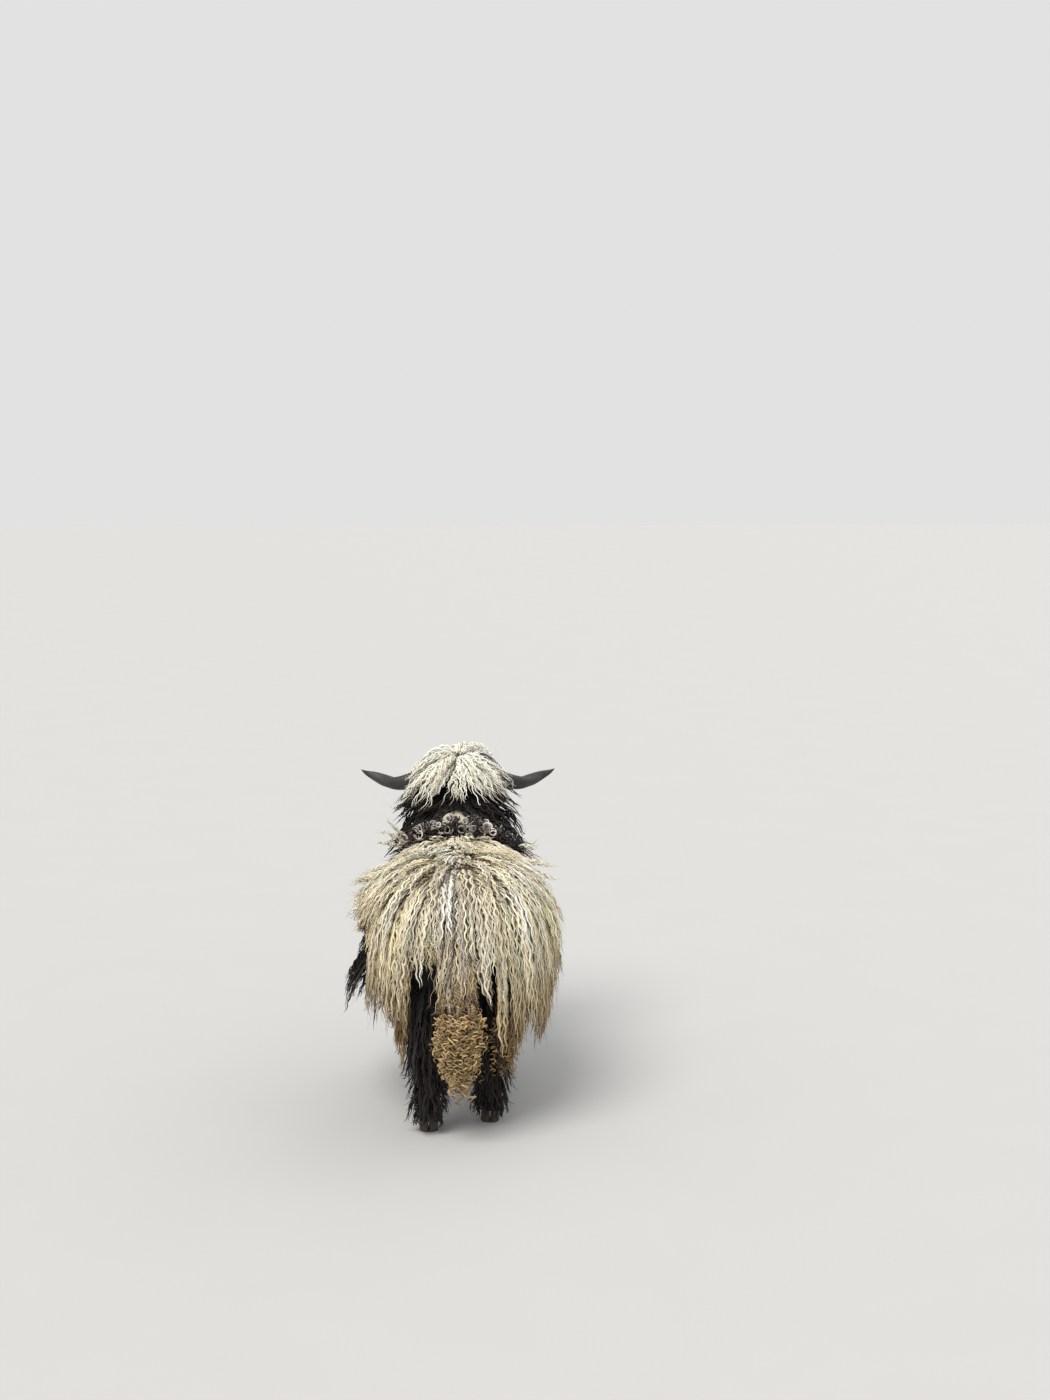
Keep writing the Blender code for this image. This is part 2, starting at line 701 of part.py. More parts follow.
def build_ear(name, sign, collection):
    root = head_point(0.045, -0.012, 0.060)
    lie = Vector((0.86, 0.0, -0.50)).normalized()
    count, arc = 7, 6
    rings = []
    for i in range(count):
        t = i / (count - 1)
        centre = root + lie * EAR_LENGTH * t + Vector((0, 0, -0.012)) * t * t
        width = 0.010 + 0.024 * math.sin(math.pi * min(1, 0.12 + 0.86 * t)) * (1 - 0.25 * t)
        width = width if i < count - 1 else 0.004
        forward = Vector((0, -1, 0))
        up = lie.cross(forward).normalized()
        cup = width * 0.75
        outer = []
        inner = []
        for k in range(arc):
            a = math.pi * (k / (arc - 1)) - math.pi / 2
            bend = centre + up * width * math.sin(a) - forward * cup * math.cos(a)
            outer.append(bend)
            if 0 < k < arc - 1:
                inner.append(bend + forward * min(0.006, width * 0.8))
        ring = outer + inner[::-1]
        rings.append([Vector((sign * p.x, p.y, p.z)) for p in ring])
    return skinned(name, rings, "black_wool", collection)


def eye_centre(sign):
    return head_point(0.098, 0.010, sign * 0.062)


def build_eye(name, sign, collection):
    mesh = bpy.data.meshes.new(name)
    bm = bmesh.new()
    bmesh.ops.create_uvsphere(
        bm, u_segments=10, v_segments=7, radius=EYE_RADIUS,
        matrix=Matrix.Translation(eye_centre(sign)) @ Matrix.Rotation(math.pi / 2, 4, "Y"),
    )
    bmesh.ops.triangulate(bm, faces=bm.faces)
    bm.to_mesh(mesh)
    bm.free()
    mesh.shade_smooth()
    mesh.materials.append(finish_of("eye"))
    eye = bpy.data.objects.new(name, mesh)
    collection.objects.link(eye)
    return eye


def stand_on_origin(collection):
    """Moves everything so that the origin is at the bottom centre of the whole."""
    points = [v.co for obj in collection.objects for v in obj.data.vertices]
    middle_x = (min(p.x for p in points) + max(p.x for p in points)) / 2
    middle_y = (min(p.y for p in points) + max(p.y for p in points)) / 2
    for obj in collection.objects:
        obj.data.transform(Matrix.Translation((-middle_x, -middle_y, 0)))


def new_collection(name):
    collection = bpy.data.collections.new(name)
    bpy.context.scene.collection.children.link(collection)
    return collection


def main():
    for obj in list(bpy.data.objects):
        bpy.data.objects.remove(obj)
    sheep = new_collection("valais_blacknose_sheep")
    cutters = new_collection("cutters")

    torso = build_trunk(sheep)
    neck = build_neck(sheep)
    head = build_head(sheep)
    tail = tube("tail", TAIL_ROWS, 10, 8, "tail_wool", sheep)
    around_torso = grown(torso, GAP, cutters)
    around_neck = grown(neck, GAP, cutters)
    around_head = grown(head, GAP, cutters)

    # Spaces that the coats of neck, tail and legs fill, kept free of the trunk's locks
    neck_space = hide(tube("neck_space", NECK_SPACE, 10, 16, "black_wool", cutters))
    tail_space = hide(tube("tail_space", wider(TAIL_ROWS[:3], 0.010) + wider(TAIL_ROWS[3:], 0.044)
                           + [(0, 0.482, 0.09, 0.03, 0.03)], 12, 10, "tail_wool", cutters))
    spaces = [neck_space, tail_space]

    horns, ears, limbs = [], [], [tail]
    for sign, side in ((1, "left"), (-1, "right")):
        for front, place in ((True, "front"), (False, "hind")):
            step = STRIDE / 2 * sign * (-1 if front else 1)
            rows = leg_stations(front, sign, step)
            leg = build_leg(f"leg_{place}_{side}", rows, sheep)
            space = wider(rows[:1], -0.03) + wider(rows[1:2], 0) + wider(rows[2:], LEG_COAT + 0.005)
            spaces.append(hide(build_leg("leg_space", space, cutters)))
            pieces = new_collection("locks")
            dress_leg(leg, torso, 40 + 2 * front + (sign > 0), pieces)
            fuse(leg, pieces)
            cut(leg, [around_torso])
            limbs.append(leg)
            for side_of_leg, claw in ((sign, "outer"), (-sign, "inner")):
                build_claw(f"hoof_{place}_{side}_{claw}", Vector(rows[-1][:3]), side_of_leg, sheep)
        ears.append(build_ear(f"ear_{side}", sign, sheep))
        horns.append(build_horn(f"horn_{side}", sign, sheep))
    around_horns = [grown(horn, GAP, cutters) for horn in horns]
    around_ears = [grown(ear, GAP, cutters) for ear in ears]

    pieces = new_collection("locks")
    dress_tail(tail, pieces)
    fuse(tail, pieces)
    cut(tail, [around_torso])
    pieces = new_collection("locks")
    dress_trunk(torso, spaces, limbs, pieces)
    fuse(torso, pieces)

    pieces = new_collection("locks")
    dress_neck(neck, around_torso, neck_space,
               [around_head] + around_horns + around_ears, pieces)
    fuse(neck, pieces)
    cut(neck, [around_torso])

    pieces = new_collection("locks")
    dress_head(head, [neck_space] + around_horns + around_ears, pieces)
    for sign in (1, -1):
        build_lids(sign, pieces)
    fuse(head, pieces)
    carve_muzzle(head, cutters)
    for sign, side in ((1, "left"), (-1, "right")):
        eye = build_eye(f"eye_{side}", sign, sheep)
        cut(head, [grown(eye, GAP, cutters)])
    cut(head, [around_neck])

    for horn in horns:
        cut(horn, [around_head, around_neck])
    for ear in ears:
        cut(ear, [around_head, around_neck])

    for obj in list(cutters.objects):
        bpy.data.objects.remove(obj)
    stand_on_origin(sheep)


main()
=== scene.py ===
import math
import random

import bmesh
import bpy
import numpy as np
from mathutils import Matrix, Vector
from mathutils.bvhtree import BVHTree


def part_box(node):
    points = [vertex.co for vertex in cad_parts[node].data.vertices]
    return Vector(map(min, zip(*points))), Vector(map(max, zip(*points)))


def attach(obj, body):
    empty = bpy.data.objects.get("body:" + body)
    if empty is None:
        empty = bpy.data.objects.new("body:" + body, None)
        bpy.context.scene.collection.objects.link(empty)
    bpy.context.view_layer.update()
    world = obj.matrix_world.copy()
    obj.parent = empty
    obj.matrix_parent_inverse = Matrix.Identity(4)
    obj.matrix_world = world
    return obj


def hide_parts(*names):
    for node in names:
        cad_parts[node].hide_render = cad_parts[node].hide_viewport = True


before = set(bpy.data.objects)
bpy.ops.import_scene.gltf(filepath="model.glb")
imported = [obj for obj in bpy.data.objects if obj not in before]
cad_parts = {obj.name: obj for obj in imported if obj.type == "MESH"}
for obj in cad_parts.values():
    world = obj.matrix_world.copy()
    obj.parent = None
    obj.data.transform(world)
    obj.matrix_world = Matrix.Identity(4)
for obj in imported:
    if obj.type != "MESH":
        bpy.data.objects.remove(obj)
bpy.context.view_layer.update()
print("frame loaded:", len(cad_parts), "nodes")

# The body's own axes, in the place where the solids were built
body = {
    "backHeight": 0.79, "trunkLength": 0.85, "barrelWidth": 0.55, "rumpY": 0.43,
    "headLength": 0.27, "headPitch": math.radians(38),
    "poll": (0, -0.585, 0.955), "crown": (0, -0.578, 1.02),
    "eyeRadius": 0.0135, "eyePlace": (0.098, 0.010, 0.062),
    "hoofHeight": 0.045, "hoofLength": 0.062, "hoofWidth": 0.026, "cleft": 0.004,
    "stride": 0.09, "gap": 0.0004,
}
poll, crown = Vector(body["poll"]), Vector(body["crown"])
forward = Vector((0, -math.cos(body["headPitch"]), -math.sin(body["headPitch"])))
upward = Vector((0, -math.sin(body["headPitch"]), math.cos(body["headPitch"])))
side = Vector((1, 0, 0))
down = Vector((0, 0, -1))


def headPoint(ahead, above, aside=0.0):
    return poll + forward * ahead + upward * above + side * aside


def eyeCentre(sign):
    ahead, above, aside = body["eyePlace"]
    return headPoint(ahead, above, sign * aside)


eyeBox = [Vector(corner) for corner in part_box("eye_left")]
shift = (eyeBox[0] + eyeBox[1]) / 2 - eyeCentre(1)  # from where the solids were built to the frame
print("shift to the frame:", [round(v, 4) for v in shift])


# Small mesh helpers
def unit(vectors):  # numpy vectors of length 1
    return vectors / np.maximum(np.linalg.norm(vectors, axis=-1, keepdims=True), 1e-9)


def smoothstep(low, high, values):
    t = np.clip((values - low) / (high - low), 0, 1)
    return t * t * (3 - 2 * t)


def smoothRows(rows, count):  # Catmull-Rom through rows of numbers
    rows = np.asarray(rows, float)
    last = len(rows) - 1
    t = np.linspace(0, last, count)
    k = np.minimum(t.astype(int), last - 1)
    f = (t - k)[:, None]
    a, b, c, d = (rows[np.clip(k + o, 0, last)] for o in (-1, 0, 1, 2))
    return 0.5 * (2 * b + (c - a) * f + (2 * a - 5 * b + 4 * c - d) * f ** 2
                  + (3 * b - a - 3 * c + d) * f ** 3)


def loft(rows, count, sides, squareness=2.0, squeeze=0.0):
    rows = smoothRows(rows, count)
    centres = rows[:, :3]
    along = unit(np.gradient(centres, axis=0))
    across = unit(np.array([1.0, 0, 0]) - along * along[:, :1])
    other = np.cross(along, across)
    turn = 2 * np.pi * (np.arange(sides) + 0.5) / sides
    x = np.sign(np.cos(turn)) * np.abs(np.cos(turn)) ** (2 / squareness)
    y = np.sign(np.sin(turn)) * np.abs(np.sin(turn)) ** (2 / squareness)
    wide = np.maximum(rows[:, 3:4] - squeeze, 0.002) * x
    deep = np.maximum(rows[:, 4:5] - squeeze, 0.002) * y
    return centres[:, None] + across[:, None] * wide[..., None] + other[:, None] * deep[..., None]


def shellOf(grid, closed=False):  # points and outward faces of a tube of rings
    count, sides = grid.shape[:2]
    faces = []
    for i in range(count if closed else count - 1):
        n = (i + 1) % count
        for k in range(sides):
            j = (k + 1) % sides
            faces.append((i * sides + k, i * sides + j, n * sides + j, n * sides + k))
    if not closed:
        faces.append(tuple(range(sides))[::-1])
        faces.append(tuple(range((count - 1) * sides, count * sides)))
    points = grid.reshape(-1, 3)
    middle = points.mean(axis=0)
    volume = 0.0
    for face in faces:
        for m in range(1, len(face) - 1):
            a, b, c = points[face[0]] - middle, points[face[m]] - middle, points[face[m + 1]] - middle
            volume += np.dot(a, np.cross(b, c))
    if volume < 0:
        faces = [face[::-1] for face in faces]
    return points, faces


def makeObject(name, points, faces):
    mesh = bpy.data.meshes.new(name)
    mesh.from_pydata([tuple(p) for p in points], [], faces)
    mesh.update()
    mesh.shade_smooth()
    piece = bpy.data.objects.new(name, mesh)
    bpy.context.scene.collection.objects.link(piece)
    return piece


def joined(shells):  # several shells as one list of points and faces
    points, faces = [], []
    for some, around in shells:
        faces += [tuple(len(points) + k for k in face) for face in around]
        points += list(some)
    return points, faces


def treeOf(shells):
    points, faces = joined(shells)
    return BVHTree.FromPolygons([Vector(p) for p in points], faces)


def finished(piece):  # the evaluated mesh, with the modifiers gone
    graph = bpy.context.evaluated_depsgraph_get()
    mesh = bpy.data.meshes.new_from_object(piece.evaluated_get(graph))
    piece.modifiers.clear()
    piece.data = mesh
    return piece


def combined(piece, operation, tool):
    change = piece.modifiers.new("Combine", "BOOLEAN")
    change.operation = operation
    change.solver = "MANIFOLD"
    change.object = tool
    finished(piece)
    bpy.data.objects.remove(tool)
    return piece


def heightOver(tree, point):
    near, normal, _, _ = tree.find_nearest(point)
    offset = point - near
    if offset.dot(normal) < 0:
        return -offset.length, normal
    return offset.length, offset.normalized() if offset.length > 1e-6 else normal


def valueAt(points, t):
    return float(np.interp(t, [p[0] for p in points], [p[1] for p in points]))


# The lofts under the coat, each with its rectangle on the unwrap
def trunkRows():
    shares = [
        (0.00, 0.30, 0.83, 0.66), (0.05, 0.62, 0.925, 0.56), (0.14, 0.82, 0.985, 0.49),
        (0.27, 0.94, 1.005, 0.43), (0.42, 1.00, 0.995, 0.385), (0.60, 0.985, 0.995, 0.38),
        (0.76, 0.88, 1.01, 0.40), (0.90, 0.70, 0.97, 0.44), (1.00, 0.36, 0.84, 0.54),
    ]
    height = body["backHeight"]
    return [
        (0, body["rumpY"] - body["trunkLength"] * along, height * (top + low) / 2,
         body["barrelWidth"] / 2 * width, height * (top - low) / 2)
        for along, width, top, low in shares
    ]


def headRows():
    shares = [
        (-0.24, -0.024, 0.020, 0.022), (-0.19, -0.022, 0.044, 0.046), (-0.06, -0.018, 0.066, 0.068),
        (0.17, -0.020, 0.080, 0.080), (0.34, -0.022, 0.076, 0.078), (0.50, -0.024, 0.060, 0.067),
        (0.67, -0.024, 0.049, 0.053), (0.82, -0.022, 0.046, 0.045), (0.93, -0.021, 0.043, 0.038),
        (0.99, -0.021, 0.033, 0.027), (1.02, -0.021, 0.016, 0.012),
    ]
    return [(*headPoint(body["headLength"] * ahead, above), width, depth)
            for ahead, above, width, depth in shares]


def legRows(front, sign):
    if front:
        rows = [
            (0.115, -0.265, 0.50, 0.060, 0.085), (0.105, -0.26, 0.38, 0.048, 0.058),
            (0.095, -0.265, 0.28, 0.037, 0.040), (0.092, -0.263, 0.20, 0.029, 0.032),
            (0.092, -0.263, 0.12, 0.028, 0.030), (0.092, -0.27, 0.085, 0.032, 0.035),
            (0.092, -0.283, body["hoofHeight"] + body["gap"], 0.027, 0.034),
        ]
    else:
        rows = [
            (0.115, 0.26, 0.50, 0.075, 0.110), (0.110, 0.295, 0.40, 0.060, 0.085),
            (0.100, 0.335, 0.335, 0.045, 0.055), (0.095, 0.35, 0.285, 0.038, 0.045),
            (0.095, 0.335, 0.22, 0.030, 0.034), (0.095, 0.32, 0.14, 0.028, 0.031),
            (0.095, 0.31, 0.09, 0.032, 0.036),
            (0.095, 0.298, body["hoofHeight"] + body["gap"], 0.027, 0.034),
        ]
    step = body["stride"] / 2 * sign * (-1 if front else 1)
    top = rows[0][2]
    return [(sign * x, y + step * (1 - z / top), z, w, d) for x, y, z, w, d in rows]


neckRows = [
    (0, -0.24, 0.58, 0.175, 0.190), (0, -0.34, 0.67, 0.165, 0.165),
    (0, -0.43, 0.76, 0.152, 0.143), (0, -0.505, 0.85, 0.130, 0.116),
    (0, -0.548, 0.905, 0.098, 0.090), (0, -0.568, 0.928, 0.060, 0.055),
]
tailRows = [
    (0, 0.370, 0.62, 0.024, 0.024), (0, 0.440, 0.56, 0.026, 0.024),
    (0, 0.476, 0.48, 0.030, 0.026), (0, 0.490, 0.39, 0.044, 0.034),
    (0, 0.490, 0.29, 0.044, 0.036), (0, 0.486, 0.21, 0.024, 0.020),
]
legNames = [("front", "left"), ("front", "right"), ("hind", "left"), ("hind", "right")]


def signOf(where):
    return 1 if where == "left" else -1


skinSpec = {"voxel": 0.0062, "inside": 0.0015, "smoothing": 6, "headRings": 120, "headSides": 112}
lofts = {
    "trunk": loft(trunkRows(), 40, 48, 2.2, skinSpec["inside"]),
    "neck": loft(neckRows, 24, 40, 2.0, skinSpec["inside"]),
    "tail": loft(tailRows, 20, 16, 2.0, skinSpec["inside"]),
}
for end, where in legNames:
    rows = legRows(end == "front", signOf(where))
    lofts[end + where] = loft(rows, 28, 20, 2.0, 0.0006)
unwrap = {"trunk": (0.01, 0.42, 0.99, 0.99), "neck": (0.01, 0.22, 0.40, 0.40),
          "head": (0.42, 0.22, 0.80, 0.40), "tail": (0.82, 0.22, 0.99, 0.40),
          "frontleft": (0.01, 0.01, 0.19, 0.20), "frontright": (0.20, 0.01, 0.38, 0.20),
          "hindleft": (0.39, 0.01, 0.57, 0.20), "hindright": (0.58, 0.01, 0.76, 0.20)}


# The head, with its folds, mouth and nostrils
def pushed(points, centre, radius, move, reach=None):
    # Moves points near a place, fading to the radius, or within an ellipsoid of three reaches
    offset = points - np.array(centre)
    if reach is None:
        far = (offset ** 2).sum(axis=1) / radius ** 2
    else:
        far = sum((offset @ np.array(axis) / size) ** 2 for axis, size in reach)
    share = np.clip(1 - far, 0, 1) ** 2
    return points + share[:, None] * np.array(move)


def alongLine(points, line, width, move):  # a groove or fold along a line of points
    line = smoothRows([tuple(p) for p in line], 40)
    far = np.full(len(points), 9.0)
    for a, b in zip(line[:-1], line[1:]):
        ab = b - a
        t = np.clip(((points - a) @ ab) / (ab @ ab), 0, 1)
        far = np.minimum(far, np.linalg.norm(points - (a + t[:, None] * ab), axis=1))
    share = np.exp(-(far / width) ** 2)
    return points + share[:, None] * move


# Swellings and hollows on both sides: place ahead, above and aside, radius, move aside and above
swellings = [
    (0.098, 0.008, 0.072, 0.028, -0.005, 0), (0.082, 0.034, 0.056, 0.026, 0.004, 0.004),
    (0.070, -0.055, 0.065, 0.045, 0.007, 0), (0.252, -0.006, 0.034, 0.024, 0.004, 0),
    (0.165, -0.004, 0.062, 0.034, -0.004, 0),
]
mouth = [(0.196, -0.060, 0.050), (0.215, -0.053, 0.046), (0.240, -0.047, 0.042),
         (0.262, -0.044, 0.030), (0.274, -0.043, 0.006)]


def headLines():  # points ahead, above and aside, width, depth, and whether it moves aside
    yield [(0.085, -0.014, 0.074), (0.120, -0.012, 0.066), (0.160, -0.010, 0.052)], 0.007, 0.0042, True
    yield [(0.114, 0.000, 0.068), (0.138, 0.006, 0.056), (0.158, 0.012, 0.046)], 0.0034, -0.0036, True
    for k in range(3):  # folds beside the nose
        start = 0.205 + 0.012 * k
        line = [(start, 0.020 - 0.002 * k, 0.022), (start + 0.006, 0.008 - 0.003 * k, 0.040)]
        yield line, 0.0026, -0.0020, False
    for k in range(3):  # folds of the upper lid's brow
        lift = 0.024 + 0.007 * k
        line = [(0.078, lift - 0.006, 0.074), (0.096, lift, 0.070), (0.116, lift - 0.006, 0.060)]
        yield line, 0.0026, -0.0022, False
    # The lips' edges above and below the mouth line, and the line itself
    for rise, width, depth in ((0.005, 0.0046, 0.0030), (-0.005, 0.0046, 0.0024), (0, 0.0022, -0.0062)):
        yield [(ahead, above + rise, aside) for ahead, above, aside in mouth], width, depth, False


def headShell():
    rows = smoothRows(headRows(), 400)
    fine = 1 - np.linspace(1, 0, skinSpec["headRings"]) ** 1.35  # rings crowd towards the nose
    rows = rows[np.round(fine * 399).astype(int)]
    points, faces = shellOf(loft(rows, len(rows), skinSpec["headSides"], 2.0, 0.0008))
    points = points.copy()
    axis = np.array(headPoint(0, -0.022))

    def outward(points):
        ahead = (points - axis) @ np.array(forward)
        return unit(points - axis - ahead[:, None] * np.array(forward))

    points = pushed(points, headPoint(0.155, 0.030), 0.060, upward * 0.008)
    points = pushed(points, headPoint(0.245, -0.062), 0.030, -upward * 0.005)
    for sign in (1, -1):
        for ahead, above, aside, radius, out, up in swellings:
            place = headPoint(ahead, above, sign * aside)
            points = pushed(points, place, radius, side * sign * out + upward * up)
        for line, width, depth, aside in headLines():
            line = [headPoint(ahead, above, sign * out) for ahead, above, out in line]
            move = np.array(side * sign) if aside else outward(points)
            points = alongLine(points, line, width, move * depth)
        # Comma-shaped nostril with a raised rim
        place = headPoint(0.2665, -0.011, sign * 0.0255)
        out = (forward * 0.75 + side * sign * 0.65).normalized()
        slant = (upward * 0.8 + side * sign * 0.5 - forward * 0.35).normalized()
        slant = (slant - out * slant.dot(out)).normalized()
        across = out.cross(slant)
        wing = place + slant * 0.011 - across * 0.004 * sign
        for centre, depth, long, wide in (
                (place, 0.0046, 0.0200, 0.0120), (place, -0.0165, 0.0130, 0.0062),
                (wing, -0.0060, 0.0075, 0.0040)):
            reach = [(out, 0.03), (slant, long), (across, wide)]
            points = pushed(points, centre, 0, out * depth, reach)
    line = [headPoint(0.278, -0.012), headPoint(0.279, -0.028), headPoint(0.276, -0.042)]
    return alongLine(points, line, 0.0019, -np.array(forward) * 0.0036), faces


def earGrid(sign):
    root = headPoint(0.045, -0.012, 0.060)
    lie = Vector((0.86, 0.0, -0.50)).normalized()
    count, arc = 26, 15
    rings = []
    for i in range(count):
        t = i / (count - 1)
        centre = root + lie * 0.125 * t + Vector((0, 0, -0.012)) * t * t
        width = 0.010 + 0.024 * math.sin(math.pi * min(1, 0.12 + 0.86 * t)) * (1 - 0.25 * t)
        width *= math.sqrt(max(0.02, 1 - max(0, t - 0.93) / 0.072))
        ahead = Vector((0, -1, 0))
        up = lie.cross(ahead).normalized()
        cup = width * 0.75
        wall = min(0.0052, width * 0.6)
        outer, inner = [], []
        for k in range(arc):
            a = math.pi * k / (arc - 1) - math.pi / 2
            bend = centre + up * width * math.sin(a) - ahead * cup * math.cos(a)
            inward = (up * math.sin(a) - ahead * math.cos(a)).normalized()
            outer.append(bend)
            if 0 < k < arc - 1:
                inner.append(bend - inward * wall * math.sin(math.pi * k / (arc - 1)) ** 0.5)
        ring = outer + inner[::-1]
        rings.append([(sign * p.x, p.y, p.z) for p in ring])
    return np.array(rings)


def eyeAxes(sign):  # outwards, towards the nose and up from the eye
    out = (side * sign * 0.93 + forward * 0.30 + upward * 0.15).normalized()
    ahead = (forward - out * forward.dot(out)).normalized()
    above = (upward - out * upward.dot(out) - ahead * upward.dot(ahead)).normalized()
    return out, ahead, above


def lidGrid(sign):  # both lids as one almond ring that hugs the eyeball and runs out into the cheek
    centre, radius = eyeCentre(sign), body["eyeRadius"]
    out, ahead, above = eyeAxes(sign)
    rings = []
    for k in range(56):
        turn = 2 * math.pi * k / 56
        c, s = math.cos(turn), math.sin(turn)
        corner = abs(c) ** 3
        wide, high = (50 if c > 0 else 47), (27 if s > 0 else 33)
        edge = math.radians(wide) * corner + math.radians(high) * (1 - corner)
        thick = 0.0030 if s > 0 else 0.0022  # the upper lid is the heavier one
        outer, low = math.radians(84), 0.0005
        section = [(edge, low), (edge + 0.02, low + thick * 0.45), (edge + 0.10, low + thick * 0.85),
                   (edge + 0.24, low + thick), (edge * 0.6 + outer * 0.4, low + thick * 0.75),
                   (edge * 0.4 + outer * 0.6, low + thick * (1.05 if s > 0 else 0.8)),
                   (edge * 0.15 + outer * 0.85, thick * 0.8), (outer, 0.0), (outer, -0.004),
                   (edge * 0.5 + outer * 0.5, low)]
        radial = ahead * c + above * s
        rings.append([centre + (radial * math.sin(angle) + out * math.cos(angle)) * (radius + lift)
                      for angle, lift in section])
    return np.array([[tuple(p) for p in ring] for ring in rings])


def eyeball(name, sign, radius, bulge=0.0):
    centre = eyeCentre(sign)
    out, ahead, above = eyeAxes(sign)
    bm = bmesh.new()
    bmesh.ops.create_uvsphere(bm, u_segments=48, v_segments=32, radius=1)
    layer = bm.loops.layers.uv.new("eyeMap")
    for face in bm.faces:
        for loop in face.loops:
            loop[layer].uv = (0.5 + 0.5 * loop.vert.co.x, 0.5 + 0.5 * loop.vert.co.y)
    for vert in bm.verts:
        x, y, z = vert.co
        far = radius * (1 + bulge * max(0, (z - 0.62) / 0.38))
        vert.co = centre + (ahead * x + above * y + out * z) * far
    if out.dot(ahead.cross(above)) < 0:
        bmesh.ops.reverse_faces(bm, faces=bm.faces)
    mesh = bpy.data.meshes.new(name)
    bm.to_mesh(mesh)
    bm.free()
    mesh.shade_smooth()
    piece = bpy.data.objects.new(name, mesh)
    bpy.context.scene.collection.objects.link(piece)
    return piece


def makeSkin():
    skin = makeObject("skin", *joined([shellOf(grid) for grid in lofts.values()]))
    mesher = skin.modifiers.new("Remesh", "REMESH")
    mesher.mode = "VOXEL"
    mesher.voxel_size = skinSpec["voxel"]
    mesher.use_smooth_shade = True
    soft = skin.modifiers.new("Smooth", "SMOOTH")
    soft.iterations = skinSpec["smoothing"]
    finished(skin)
    head = makeObject("headShell", *headShell())
    for sign in (1, -1):
        combined(head, "UNION", makeObject("ear", *shellOf(earGrid(sign))))
        combined(head, "DIFFERENCE", eyeball("socket", sign, body["eyeRadius"] + 0.0003))
        combined(head, "UNION", makeObject("lids", *shellOf(lidGrid(sign), True)))
    combined(skin, "UNION", head)
    return skin


skin = makeSkin()
print("skin:", sum(len(f.vertices) - 2 for f in skin.data.polygons), "triangles")
skinTree = BVHTree.FromPolygons([v.co for v in skin.data.vertices],
                                [f.vertices for f in skin.data.polygons])
trees = {name: treeOf([shellOf(grid)]) for name, grid in lofts.items()}
headTree = treeOf([shellOf(loft(headRows(), 40, 32))])


# The markings, shared by skin and coat
tones = {
    "white": (0.93, 0.90, 0.80), "cream": (0.86, 0.73, 0.47), "tan": (0.46, 0.30, 0.12),
    "brown": (0.15, 0.095, 0.050), "mauve": (0.27, 0.22, 0.215), "black": (0.010, 0.0085, 0.009),
    "gold": (0.60, 0.41, 0.19), "pink": (0.48, 0.40, 0.37),
}
tone = {name: np.array(value) for name, value in tones.items()}


def wobble(points, scale, seed=0.0):  # slow waves between -1 and 1, for ragged borders
    x, y, z = (points * scale).T
    return (np.sin(x * 1.3 + 2.1 * np.sin(y * 0.9 + seed) + seed)
            + np.sin(y * 1.7 + 1.7 * np.sin(z * 1.1 - seed) + 1.3 * seed)
            + np.sin(z * 1.5 + 1.9 * np.sin(x * 1.2 + 2 * seed))) / 3


def blend(base, other, share):
    return base + (other - base) * share[..., None]


def plain(name, points):
    return np.broadcast_to(tone[name], points.shape)


def darkShare(points):  # 1 where the wool is black
    x, y, z = points.T
    n = wobble(points, 26, 1.0)
    front = smoothstep(-0.325, -0.350, y + 0.02 * n)
    behind = smoothstep(0.27, 0.33, y + 0.02 * n)
    left = smoothstep(0.075, 0.050, np.abs(x - 0.095) + 0.02 * n) * smoothstep(0.61, 0.55, z + 0.03 * n)
    right = ((x + 0.10) / 0.050) ** 2 + ((z - 0.44) / 0.11) ** 2
    right = smoothstep(1.2, 0.8, right + 0.25 * n) + smoothstep(0.30, 0.26, z)
    flank = ((x - 0.30) / 0.19) ** 2 + ((y + 0.04) / 0.23) ** 2 + ((z - 0.47) / 0.17) ** 2
    flank = smoothstep(1.15, 0.75, flank + 0.25 * n)
    chest = smoothstep(-0.24, -0.30, y) * smoothstep(0.60, 0.52, z)
    return np.clip(front + behind * (left + right) + flank + chest, 0, 1)


def fleeceColour(points, t, luck):
    # Colour of the wool rooted at points, t from root to tip, luck a strand's own number
    x, y, z = points.T
    n = wobble(points, 17, 3.0)
    low = smoothstep(0.66, 0.30, z - 0.16 * t + 0.05 * n)
    colour = blend(plain("cream", points), tone["tan"], 0.80 * low)
    high = smoothstep(0.62, 0.78, z) * (0.55 + 0.45 * wobble(points, 40, 5.0))
    colour = blend(colour, tone["white"], np.clip(0.9 * high, 0, 1))
    # painted shade: grey-mauve strands along the back's midline stand in for the shade in the parting; a
    # few random strands anywhere are tinted mauve
    partingShadeAndTint = smoothstep(0.060, 0.020, np.abs(x + 0.012 * n)) * smoothstep(-0.05, 0.10, y)
    partingShadeAndTint = partingShadeAndTint * (luck < 0.42) + 0.5 * (luck > 0.95)
    colour = blend(colour, tone["mauve"], 0.62 * partingShadeAndTint)
    colour = blend(colour, tone["brown"], 0.60 * low * smoothstep(0.4, 1.0, t))
    leftSkirtShade = smoothstep(0.30, 0.90, t) * smoothstep(0.07, 0.16, x) * smoothstep(0.76, 0.62, z)
    colour = blend(colour, tone["brown"], 0.50 * leftSkirtShade)  # painted shade: the left skirts' tips darken towards brown
    # painted shade: near the roots the wool darkens towards mauve, less so on the top of the back
    rootShade = 0.80 - 0.45 * smoothstep(0.72, 0.78, z)
    colour = blend(colour, tone["mauve"] * 0.55, rootShade * smoothstep(0.34, 0.0, t))
    return blend(colour, tone["black"], darkShare(points))


